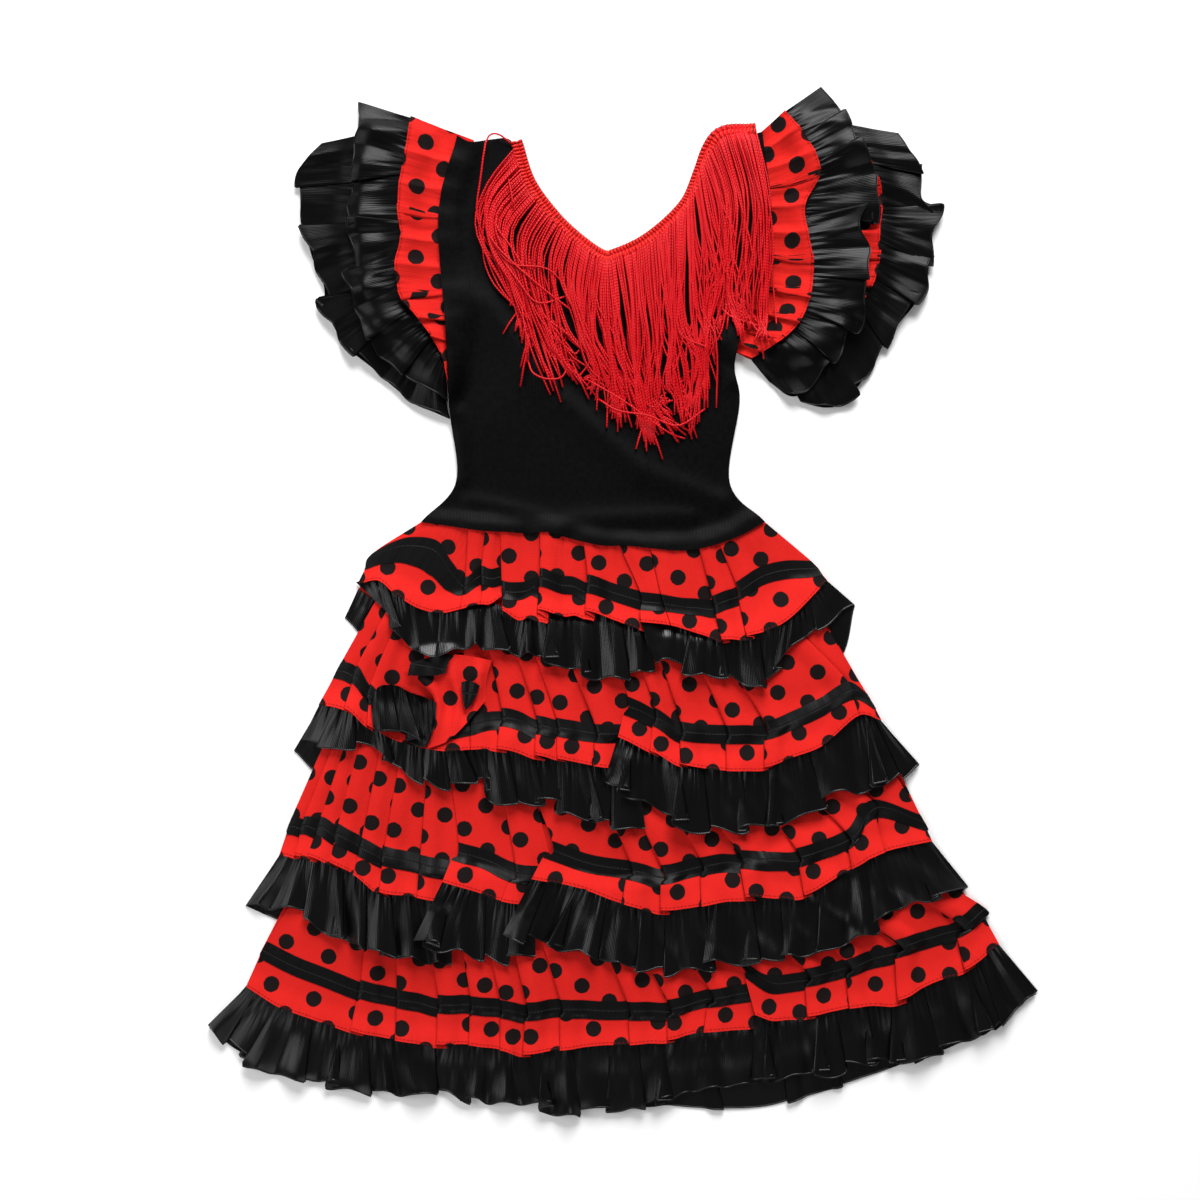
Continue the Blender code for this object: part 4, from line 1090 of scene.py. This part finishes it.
def ruffle_columns(long, waves, folds, fullness):
    """For each column: its place, its sideways lap, lift and jog at the edge, and its flap or -1."""
    spot = np.linspace(0, long, max(LEAST_STEPS, int(long / COLUMN_STEP)) + 1)
    lap, lift, jog = (np.zeros(len(spot)) for _ in (0, 1, 2))
    extra = []
    for number, overlap, side, drop in folds:
        place, wide = long * number / waves, overlap * fullness
        near = side * (place - spot)
        flap = near >= 0
        near = np.abs(near)
        push = side * wide / 2 * (1 - smooth(near / (1.6 * wide)))
        lap += np.where(flap, push, -push)
        lift += np.where(flap, LAP_RISE * (1 - smooth((near - 0.8 * wide) / (0.9 * wide))), 0)
        jog += np.where(flap, 1, -0.4) * drop * fullness * (1 - smooth(near / (1.2 * wide + 8)))
        for share, rise in LAP_RETURNS:
            extra.append((place - side * 1e-3 * share, side * wide * share, LAP_RISE * rise,
                          0.3 * drop))
    places = np.sort([long * number / waves for number, *_ in folds])
    flap = np.searchsorted(places, spot)
    if extra:
        more = np.array(extra)
        spot, lap, lift, jog = (np.concatenate([kept, more[:, k]]) for k, kept in
                                enumerate((spot, lap, lift, jog)))
        flap = np.concatenate([flap, np.full(len(more), -1)])
    order = np.argsort(spot, kind="stable")
    return spot[order], lap[order], lift[order], jog[order], flap[order]


def ruffle(name, node, rows, head, edge, waves, height, kind="satin"):
    """A gathered strip between two places of the rows, laid on the bed."""
    fine = finely(rows, STEPS_BETWEEN_ROWS)
    line = station(rows, edge, fine)
    passed = travelled(line)
    long = passed[-1]
    seed = len(rows) + waves + 0.37 * len(name)
    fullness = min(1.0, height / 6.0)
    placed = [(share * waves, *rest) for share, *rest in FOLDS.get(name, ())]
    folds = placed or (lapped_folds(waves, seed) if fullness > 0.5 else [])
    spot, lap, lift, jog, _ = ruffle_columns(long, waves, folds, fullness)
    at = np.interp(spot, passed, fine)
    seam, hem = station(rows, head, at), station(rows, edge, at)
    down = np.linspace(0, 1, RUFFLE_LEVELS)
    way = hem - seam
    deep = np.linalg.norm(way, axis=1)
    way /= deep[:, None]
    side = np.stack([-way[:, 1], way[:, 0]], 1)
    side *= np.sign((side * np.gradient(line, axis=0).mean(0)).sum(1).mean())
    stand = np.interp(at, np.arange(len(rows)), [min(abs(row[-1]), 4) for row in rows]) / 4
    stand = stand * np.clip(deep / RUFFLE_DEPTH, 0.3, 1)
    number = (waves * spot / long)[:, None]
    v = down[None]
    slant = (between(number, seed + 6) - 0.5) * 1.1
    bend = 0.10 * np.sin(3.2 * v + 6.0 * between(number, seed + 8)) * v
    drift = number + 0.45 * (between(number, seed) - 0.5) + slant * (1 - v) * 0.6 + bend
    ramp = 1 - np.abs(2 * (drift - np.floor(drift)) - 1)
    size = 0.25 + 0.75 * between(drift + 0.5, seed + 1)
    crest = (0.55 * ramp + 0.45 * smooth(ramp)) * size
    facet = between(1.63 * drift + 0.4, seed + 2)
    small = 0.5 + 0.5 * np.sin(2 * math.pi * long / RIPPLE_LENGTH * (number / waves)
                               + 4.0 * between(number * 1.9, seed + 3) + 5.0 * v * slant)
    small = small * (0.35 + 0.65 * between(number * 1.3, seed + 7))
    gather = np.exp(-v * deep[:, None] / GATHER_FADE)
    full = stand[:, None]
    rise = full * (height * (crest * v**0.8 * 0.95 + facet * v * 0.22)
                   + small * gather * 1.5 * min(1.0, height / 5.0, long / 150.0))
    rise = rise + lift[:, None] * (0.1 + 0.9 * v)**0.8
    reach = EDGE_REACH * np.cos(2 * math.pi * drift) * (0.4 + size) * full * fullness
    start = towards(seam, hem, -SEAM_LAP)
    flat = start[:, None] + (hem - start)[:, None] * down[None, :, None]
    flat = flat + side[:, None] * (lap[:, None] * (0.04 + 0.96 * v**1.3))[..., None]
    flat = flat + way[:, None] * (reach * v**2 + jog[:, None] * v**3)[..., None]
    grid = np.dstack([flat, bed.under(flat) + GAP + SATIN / 2 + rise])
    along = travelled(grid[:, -1])[:, None] + np.zeros((1, RUFFLE_LEVELS))
    from_seam = travelled(grid, 1)
    from_edge = from_seam[:, -1:] - from_seam
    cloth(name, node, grid, (along, from_seam), (from_seam, from_edge), kind, SATIN)
    bed.add(grid, SATIN)


# %% Front and back tiers
FRONT_RUFFLE = 8.0
BACK_RUFFLE = 1.6
BACK_RUFFLES = {"4_back": 4.2}
BACK_STEPS = 6
BACK_RIBBON_RISE = 0.25
BACK_TIER_RISE = 0.6


def tier(name, rows):
    """Ruffle, tier and ribbon of one stretch of the front, laid in that order."""
    ruffle("ruffle_" + name, "ruffle_" + name, rows, 2, 3, WAVES[name], FRONT_RUFFLE)
    grid, across = tier_panel(name, rows)
    band = ribbon_on(name, grid, across)
    bed.add(grid, COTTON)
    bed.add(band, SATIN)


def tier_behind(name, rows):
    """A tier of the back lies on its outer side, so its ribbon is under it."""
    at = finely(rows, BACK_STEPS)
    top, ribbon, seam = (station(rows, number, at) for number in (0, 1, 2))
    top = towards(top, ribbon, -TOP_LAP)
    low = towards(ribbon, seam, RIBBON_WIDTH)
    flat = down_curves(np.stack([top, ribbon, low, seam], 1), PANEL_LEVELS)
    level = bed.under(flat) + GAP
    band = np.dstack([flat, level + BACK_RIBBON_RISE])[:, RIBBON_SPAN]
    grid = np.dstack([flat, level + BACK_TIER_RISE + COTTON / 2])
    across, down, from_top, from_seam = one_flap(grid)
    deep = travelled(band, 1)
    cloth("ribbon_" + name, "ribbon_" + name, band, (across[:, RIBBON_SPAN], deep), (deep, deep),
          "ribbon", RIBBON)
    cloth("tier_" + name, "tier_" + name, grid, (across, down), (from_top, from_seam),
          "cotton", COTTON)
    bed.add(band, RIBBON)
    bed.add(grid, COTTON)
    height = BACK_RUFFLES.get(name, BACK_RUFFLE)
    ruffle("ruffle_" + name, "ruffle_" + name, rows, 2, 3, WAVES[name], height)


# %% [markdown]
# ## Sleeves
# A sleeve has two red tiers, each with a ruffle. Laid flat, the lower one comes out from under the
# upper one. Its folds run out from the armhole to the seam, so they are long soft ridges.

# %% Sleeve pieces
SLEEVE_LEVELS = 16
SLEEVE_DEPTH = 38.0
SLEEVE_RUFFLES = {"front": 8.0, "back": 1.2}
SLEEVE_WAVES = 8
SLEEVE_UNEVEN_SIZE = 12.0

# Layer, the rows' places of the ruffle's seam and edge, and where under the upper tier it starts
SLEEVE_LAYERS = (("lower", 3, 4, 0.35), ("upper", 1, 2, 0.0))


def sleeve_folds(rows, fine, passed):
    """Folds that have fallen over: place, overlap in mm, side, and no step at the seam."""
    folds = []
    for n in range(1, len(rows) - 1):
        draw = uneven(n, 5)
        if draw > 0.3:
            overlap = (2.5 + 1.1 * rows[n][-1]) * (0.2 + 1.4 * draw)
            folds.append((float(np.interp(n, fine, passed)), overlap, 1 if n % 3 else -1, 0.0))
    return folds


def sleeve_body(name, rows, seam, start, height):
    """The red part of a sleeve's layer. Height 1 has folds, and height 0 is flat."""
    fine = finely(rows, STEPS_BETWEEN_ROWS)
    line = station(rows, seam, fine)
    passed = travelled(line)
    folds = sleeve_folds(rows, fine, passed) if height else []
    spot, lap, lift, _, flap = ruffle_columns(passed[-1], passed[-1], folds, 1.0)
    at = np.interp(spot, passed, fine)
    near, far = station(rows, 0, at), station(rows, seam, at)
    near = towards(near, far, -ARMHOLE_LAP) if start == 0 else near + start * (far - near)
    share = np.linspace(0, 1, SLEEVE_LEVELS)
    flat = near[:, None] + (far - near)[:, None] * share[None, :, None]
    along = np.gradient(line, axis=0)
    along /= np.linalg.norm(along, axis=1, keepdims=True)
    along = read_off(at, fine, along)
    wide = np.clip(np.linalg.norm(far - near, axis=1) / SLEEVE_DEPTH, 0, 1)
    grow = wide[:, None] * (0.05 + 0.95 * share[None]**0.8)
    flat = flat + along[:, None] * (lap[:, None] * grow)[..., None]
    ridge = np.array([row[-1] for row in rows], float)
    number = np.floor(at).astype(int).clip(0, len(rows) - 2)
    part = at - number
    swell = ridge[number] * np.exp(-part * 3.2) + ridge[number + 1] * np.exp(-(1 - part) * 9.0)
    profile = np.interp(share, [0, 0.3, 0.7, 1], [0.3, 0.85, 1.0, 0.65])
    rise = 1.1 * height * (swell * wide)[:, None] * profile
    rise = rise + 0.8 * lift[:, None] * (0.1 + 0.9 * grow)
    rise = rise + 0.9 * (1 + soft_ground(flat, SLEEVE_UNEVEN_SIZE, 4.0)) * height
    grid = np.dstack([flat, bed.under(flat) + GAP + COTTON / 2 + rise])
    across, down, from_top, from_seam = cloth_map(grid, flap)
    cloth(name, name, grid, (across, down), (from_top, from_seam), "cotton", COTTON)
    bed.add(grid, COTTON)


def sleeve(rows, side_name, face):
    """Ruffles and bodies, from the lower layer up. The back is laid in the opposite order."""
    parts = [(layer, part) for layer in SLEEVE_LAYERS for part in ("ruffle", "body")]
    if face == "back":
        parts.reverse()
    for (layer, seam, edge, start), part in parts:
        name = "sleeve_%s_%s" % (side_name, layer)
        if part == "ruffle":
            name += "_ruffle_" + face
            ruffle(name, name, rows, seam, edge, SLEEVE_WAVES, SLEEVE_RUFFLES[face],
                   "sleeve_satin")
        else:
            sleeve_body(name + "_" + face, rows, seam, start, 1.0 if face == "front" else 0.0)


# %% [markdown]
# ## Bodice
# The jersey lies almost flat, with a few soft creases. Each crease is a line with a width and a
# height, and the sheet rises there by a bell curve.

# %% Bodice sheets
BODICE_COLUMNS = 81
BODICE_LEVELS = 66

# Creases: both ends in mm on the table, half the width, and the height
CREASES = (
    (-114, 238, -50, 158, 9, 3.0), (-50, 158, 14, 102, 10, 3.4), (14, 102, 78, 78, 9, 2.6),
    (-74, 182, -2, 118, 7, 2.0), (-122, 78, -50, 62, 7, 2.2), (-50, 62, 54, 66, 8, 2.4),
    (70, 206, 86, 174, 7, 2.6), (-132, 150, -128, 96, 5, 2.4),
)


def crease_rise(flat):
    rise = np.zeros(flat.shape[:2])
    for x0, y0, x1, y1, half, tall in CREASES:
        start, way = np.array([x0, y0]), np.array([x1 - x0, y1 - y0])
        along = np.clip(((flat - start) @ way) / (way @ way), 0, 1)
        away = np.linalg.norm(flat - start - along[..., None] * way, axis=-1)
        rise = np.maximum(rise, tall * np.exp(-(away / half)**2))
    return rise


def bodice(name, inset, rise_by):
    """A jersey sheet, this far inside the outline, with its creases as tall as rise_by."""
    at = np.linspace(0, len(BODICE) - 1, BODICE_COLUMNS)
    lines = np.stack([station(BODICE, number, at) for number in range(6)], 1)
    up = np.linspace(0, 5, BODICE_LEVELS)
    flat = np.stack([spline(line, up) for line in lines])
    centre = flat.reshape(-1, 2).mean(0)
    flat = flat + inset * (centre - flat) / np.linalg.norm(centre - flat, axis=-1, keepdims=True)
    rise = rise_by * (crease_rise(flat) + 0.5 * (1 + soft_ground(flat, 17.0, 2.0)))
    grid = np.dstack([flat, bed.under(flat) + GAP + JERSEY / 2 + rise])
    across, down, from_top, from_seam = one_flap(grid)
    cloth(name, name, grid, (across, down), (from_top, from_seam), "jersey", JERSEY)
    bed.add(grid, JERSEY)


# %% [markdown]
# ## Laying the back
# The back is laid first, from the surface up: bodice, sleeves, and then the tiers from the waist.

# %% Back
bodice("bodice_back", 1.0, 0.0)
for rows, side_name in ((SLEEVE_LEFT, "left"), (SLEEVE_RIGHT, "right")):
    sleeve(rows, side_name, "back")
for name, rows in (("1_back", TIER_1_BACK), ("2_back", TIER_2_BACK), ("3_back", TIER_3_BACK),
                   ("4_back", TIER_4_BACK)):
    tier_behind(name, rows)
print("back laid", len(sheets))

# %% [markdown]
# ## Laying the front
# The front goes on from the hem up, so that each tier hangs over the next one. Where a big fold
# laps over its neighbour, the stretch that lies under is laid first.

# %% Skirt front
tier("4_front_left", TIER_4_FRONT_LEFT)
tier("4_front_right", TIER_4_FRONT_RIGHT)
tier("3_front_left", TIER_3_FRONT_LEFT)
tier("3_front_middle", TIER_3_FRONT_MIDDLE)
tier("3_front_right", TIER_3_FRONT_RIGHT)
tier("2_front_left", TIER_2_FRONT_LEFT)

# %% [markdown]
# ## The turned part of the second tier
# Near its left side the second tier has turned over: a red lobe lies on the flap, and a length of
# its ruffle stands up in soft loops. The lobe is a small sheet with long folds.

# %% Turned lobe
LOBE_COLUMNS = 40
LOBE_LEVELS = np.linspace(0, 3, 34)
LOBE_SHARES = (0.2, 1.0, 1.0, 0.4)
LOBE_RISE = 5.0
LOBE_LEAST = 0.8
LOBE_SEAM_OFF = 9.0


def turned_lobe():
    at = np.linspace(0, len(TURNED_FOLD) - 1, LOBE_COLUMNS)
    lines = np.stack([station(TURNED_FOLD, number, at) for number in range(4)], 1)
    flat = down_curves(lines, LOBE_LEVELS)
    wave = 0.5 + 0.5 * np.sin(at * 5.2 + 0.6)
    share = np.interp(LOBE_LEVELS, range(4), LOBE_SHARES)
    rise = LOBE_RISE * wave[:, None]**1.5 * share + LOBE_LEAST
    grid = np.dstack([flat, bed.under(flat) + GAP + COTTON / 2 + rise])
    across, down, from_top, from_seam = one_flap(grid)
    cloth("tier_2_turned_fold", "tier_2_turned_fold", grid, (across, down),
          (from_top, from_seam + LOBE_SEAM_OFF), "cotton", COTTON)
    bed.add(grid, COTTON)


turned_lobe()

# %% [markdown]
# ## Loops of the turned ruffle
# The ruffle of that turned length lies upwards, in soft loops of satin beside the lobe. They are
# one strip with deep waves: each row below is one place along it, from its seam to its edge. Two
# short lengths of ribbon lie there too.

# %% Turned ruffle and its ribbon
TURNED_RUFFLE = (
    (-201, -84, -199, -102, 3), (-196, -74, -196, -107, 4), (-188, -72, -187, -105, 4),
    (-180, -73, -177, -103, 4), (-175, -76, -169, -110, 4), (-168, -79, -162, -118, 4),
    (-158, -82, -154, -114, 4), (-149, -86, -149, -99, 3),
)
TURNED_RIBBONS = {
    "turned_ribbon_stub": ((-170, -52, -172, -62), (-160, -49, -162, -62), (-148, -46, -150, -62),
                           (-138, -47, -142, -60)),
    "turned_ribbon_loop": ((-129, -67, -129, -72), (-124, -66, -126, -88), (-119, -67, -122, -86),
                           (-114, -70, -116, -76)),
}


RIBBON_COLUMNS = 30
RIBBON_LEVELS = 7
TURNED_HEIGHT = 7.0
TURNED_WAVES = 3


def turned_ruffle():
    loops = [(x0, y0, x0, y0, x1, y1, x1, y1, tall) for x0, y0, x1, y1, tall in TURNED_RUFFLE]
    ruffle("tier_2_turned_ruffle", "ruffle_2_front_left", loops, 0, 2, TURNED_WAVES,
           TURNED_HEIGHT, "sleeve_satin")


def turned_ribbon(name, rows):
    at = np.linspace(0, len(rows) - 1, RIBBON_COLUMNS)
    upper, lower = (station(rows, number, at) for number in (0, 1))
    share = np.linspace(0, 1, RIBBON_LEVELS)
    flat = upper[:, None] + (lower - upper)[:, None] * share[None, :, None]
    rise = 1.0 + 1.2 * np.sin(at * 2.2)[:, None]**2 * (1 - share)[None]
    grid = np.dstack([flat, bed.under(flat) + GAP + rise])
    across, down, *_ = one_flap(grid)
    cloth(name, "tier_2_turned_fold", grid, (across, down), (down, down), "ribbon", RIBBON)
    bed.add(grid, SATIN)


for name, rows in TURNED_RIBBONS.items():
    turned_ribbon(name, rows)
turned_ruffle()

# %% Upper skirt
tier("2_front_right", TIER_2_FRONT_RIGHT)
tier("1_front_left", TIER_1_FRONT_LEFT)
tier("1_front_right", TIER_1_FRONT_RIGHT)

# %% Sleeves and bodice of the front
for rows, side_name in ((SLEEVE_LEFT, "left"), (SLEEVE_RIGHT, "right")):
    sleeve(rows, side_name, "front")
bodice("bodice_front", 0.0, 1.0)
print("front laid", len(sheets))

# %% [markdown]
# ## Braid round the neck
# The braid is two rows of small beads, one for each twist of its cord. One bead is made from a
# sphere with operators, turned and stretched, and its points are then repeated at each step of the
# neck line, in one mesh.

# %% Neck line
NECK_STEPS = 20
neck_line = station(FRINGE, 0, finely(FRINGE, NECK_STEPS))
neck_tangent = np.gradient(neck_line, axis=0)
neck_tangent /= np.linalg.norm(neck_tangent, axis=1, keepdims=True)
neck_out = np.stack([-neck_tangent[:, 1], neck_tangent[:, 0]], 1)
neck_long = float(travelled(neck_line)[-1])
print("neck line", round(neck_long, 1), "mm")

# %% One bead of the braid
BEAD_SIZE = (0.0022, 0.0054, 0.0032)
BEAD_TURN = 8

bpy.ops.object.select_all(action="DESELECT")
bpy.ops.mesh.primitive_uv_sphere_add(segments=8, ring_count=6, radius=0.5)
bead = bpy.context.object
bead.name = "braid_bead"
bpy.ops.transform.resize(value=BEAD_SIZE)
bpy.ops.transform.rotate(value=math.radians(BEAD_TURN), orient_axis="Z",
                         center_override=(0, 0, 0))
bpy.ops.object.transform_apply(location=False, rotation=True, scale=True)
bpy.ops.object.shade_smooth()
bead_points = np.array([v.co[:] for v in bead.data.vertices]) * MM_IN_M
bead_faces = sorted(tuple(p.vertices) for p in bead.data.polygons)
bpy.data.objects.remove(bead, do_unlink=True)
print("bead faces", len(bead_faces))


# %% Braid
BEAD_STEP = 2.9
BEAD_ROWS = ((2.5, 1.0), (7.4, -1.0))
BEAD_LEVEL = 2.6
TAPE_LEVEL = 1.6
TAPE_NEAR = 0.2
TAPE_WIDTH = 9.4
TAPE_COLUMNS = 6


def rope_mesh(name, points, faces, uv, kind):
    """A mesh of cords or beads that stands for the plain solid of the fringe."""
    mesh = bpy.data.meshes.new(name)
    mesh.from_pydata(((points - MIDDLE) / MM_IN_M).tolist(), [], faces)
    corner = np.array([i for face in faces for i in face])
    mesh.uv_layers.new(name="UVMap").data.foreach_set("uv", (uv[corner] / MM_IN_M).reshape(-1))
    return new_piece(name, "neck_fringe", mesh, kind)


def braid():
    """Two rows of beads leaning opposite ways, on a flat cord."""
    count = int(neck_long / BEAD_STEP)
    at, order = evenly(neck_line, count), np.arange(len(neck_line))
    line, out, tangent = (read_off(at, order, v) for v in (neck_line, neck_out, neck_tangent))
    points, faces, uv = [], [], []
    first = 0
    for n in range(count + 1):
        for off, mirror in BEAD_ROWS:
            spot = line[n] + out[n] * off
            shape = bead_points * (mirror, 1.0, 1.0)
            flat = spot + shape[:, :1] * tangent[n] + shape[:, 1:2] * out[n]
            z = bed.under(spot[None])[0] + BEAD_LEVEL + shape[:, 2]
            points.append(np.column_stack([flat, z]))
            turned = [f if mirror > 0 else f[::-1] for f in bead_faces]
            faces += [tuple(i + first for i in face) for face in turned]
            uv.append(np.column_stack([shape[:, 1] + n * BEAD_STEP, shape[:, 0]]))
            first += len(shape)
    print("braid beads", 2 * (count + 1))
    share = np.linspace(0, 1, TAPE_COLUMNS)
    flat = line[:, None] + out[:, None] * (TAPE_NEAR + TAPE_WIDTH * share[None, :, None])
    tape = np.dstack([flat, bed.under(flat) + TAPE_LEVEL])
    return rope_mesh("neck_braid", np.vstack(points), faces, np.vstack(uv), "braid"), tape


neck_braid, tape_grid = braid()

# %% [markdown]
# ## Fringe
# Long fringe is several hundred soft cords. Each is a thin five-sided tube that follows the heap
# of its neighbours: it starts at the braid, takes the line of the table above, and wanders a
# little on the way. A few cross over and a few curl at the end, as loose cord does.

# %% Cords
CORDS = 440
CORD_RINGS = 18
CORD_SIDES = 5
CORD_RADIUS = 0.74
BUNDLE = 8
BRAID_OUT = 8.5
ROUND_SCALE = 160.0
TO_BUNDLE = np.array([0.0, 0.10, 0.35, 0.50, 0.20])

# Loose cords: a looped thread at the shoulder, some that cross the others, and curled ends
LOOSE_CORDS = (
    ((-90, 365), (-101, 372), (-109, 366), (-114, 334), (-117, 310), (-112, 290), (-102, 277)),
    ((-92, 338), (-89, 322), (-88, 314), (-85, 306)),
    ((-112, 300), (-98, 278), (-62, 246), (-26, 221)),
    ((-110, 294), (-90, 268), (-58, 262), (-34, 232)),
    ((-104, 282), (-84, 254), (-66, 236), (-30, 250)),
    ((-82, 242), (-78, 214), (-70, 190), (-58, 163)),
    ((-76, 190), (-72, 180), (-62, 175), (-50, 176), (-45, 184)),
    ((-20, 160), (-4, 150), (20, 146), (44, 138), (66, 152)),
    ((-30, 176), (0, 158), (34, 134), (50, 128)),
    ((98, 366), (104, 340), (112, 300), (106, 250), (100, 214)),
)


def swept(share, bundle):
    """How far a bundle left of the point of the neck is swept to the right, over the others."""
    if not 0.06 < share < 0.42 or uneven(bundle, 31.0) < 0.45:
        return 0.0
    return float(0.5 + 0.6 * uneven(bundle, 33.0)) * min(1.0, (0.42 - share) / 0.08)


def cord_line(share, seed):
    """x, y of one cord from under the braid to its end, before it is lifted."""
    bundle = np.floor(share * CORDS / BUNDLE + 0.8 * math.sin(share * 61.0))
    centre = np.clip((bundle + 0.5) * BUNDLE / CORDS, 0.004, 0.996)
    shares = share + (centre - share) * TO_BUNDLE
    at = shares * (len(FRINGE) - 1)
    line = np.stack([station(FRINGE, number, at[number:number + 1])[0] for number in range(5)])
    own = np.array([uneven(seed * 1.0, k) - 0.5 for k in range(8)])
    flow = np.array([uneven(bundle, 20.0 + k) - 0.5 for k in range(8)])
    drift = np.array([between(np.array(share * 9.0), 40.0 + k) - 0.5 for k in range(8)])
    stray = 1.7 if uneven(seed * 1.0, 9.0) > 0.80 else 0.40
    pull = stray * own + 0.9 * flow + drift
    out = read_off(share * (len(neck_out) - 1), np.arange(len(neck_out)), neck_out)
    way = line[4] - line[3]
    line[0] += BRAID_OUT * out
    line[1] += 0.5 * BRAID_OUT * out + 4.0 * pull[0:2]
    line[2] += 9.0 * pull[2:4]
    line[3] += 13.0 * pull[4:6]
    line[4] += way * (0.7 * own[6] + 0.5 * flow[6] - 0.32) + 15.0 * pull[[7, 0]]
    sweep = swept(share, bundle)
    line[2] += sweep * np.array([6.0, 2.0])
    line[3] += sweep * np.array([20.0, 2.0])
    line[4] += sweep * np.array([44.0, -6.0])
    return spline(line, np.linspace(0, 4, CORD_RINGS))


def fringe():
    points, faces, uv = [], [], []
    first, total = 0, 0.0
    ring = np.linspace(0, 2 * math.pi, CORD_SIDES, endpoint=False)
    lines = [cord_line((n + 0.5) / CORDS, n * 3 + 1) for n in range(CORDS)]
    lines += [spline(np.array(line, float), np.linspace(0, len(line) - 1, CORD_RINGS))
              for line in LOOSE_CORDS]
    for n, flat in enumerate(lines):
        step = np.linspace(0, 1, CORD_RINGS)
        layer = uneven(np.array(n * 1.0), 9.0) if n < CORDS else 1.25
        lift = 0.6 + 5.2 * layer * np.sin(math.pi * np.clip(step * 1.15, 0, 1))**0.6
        z = bed.under(flat) + CORD_RADIUS + lift + 0.5
        z[0] = bed.under(flat[:1])[0] + TAPE_LEVEL
        path = np.column_stack([flat, z])
        way = np.gradient(path, axis=0)
        way /= np.linalg.norm(way, axis=1, keepdims=True)
        across = np.cross(way, (0, 0, 1.0))
        across /= np.linalg.norm(across, axis=1, keepdims=True)
        up = np.cross(across, way)
        thin = CORD_RADIUS * (0.85 + 0.3 * uneven(np.array(n * 1.0), 4.0))
        tube = (path[:, None] + thin * (np.cos(ring)[None, :, None] * across[:, None]
                                        + np.sin(ring)[None, :, None] * up[:, None]))
        points.append(tube.reshape(-1, 3))
        along = travelled(path)
        total += along[-1]
        both = np.broadcast_arrays(along[:, None], ring[None] * ROUND_SCALE)
        uv.append(np.stack(both, -1).reshape(-1, 2))
        for k in range(CORD_RINGS - 1):
            for m in range(CORD_SIDES):
                a = first + k * CORD_SIDES + m
                b = first + k * CORD_SIDES + (m + 1) % CORD_SIDES
                faces.append((a, b, b + CORD_SIDES, a + CORD_SIDES))
        faces.append(tuple(first + m for m in range(CORD_SIDES - 1, -1, -1)))
        end = first + (CORD_RINGS - 1) * CORD_SIDES
        faces.append(tuple(end + m for m in range(CORD_SIDES)))
        first += CORD_RINGS * CORD_SIDES
    print("cords", len(lines), "faces", len(faces), "mean length", round(total / len(lines), 1))
    return rope_mesh("fringe_cords", np.vstack(points), faces, np.vstack(uv), "cord")


fringe_cords = fringe()

# %% Tape that carries the braid and the fringe
across, down, *_ = one_flap(tape_grid)
# The tape's deep red is painted shade under the braid.
cloth("neck_tape", "neck_fringe", tape_grid, (across, down), (down, down), "tape", TAPE)

# %% [markdown]
# ## Counting the sheets
# The visual dress may stand a little outside its plain solids, but not by much. The last cell
# prints how many sheets were laid.

# %% Sheet count
print("sheets", len(sheets))
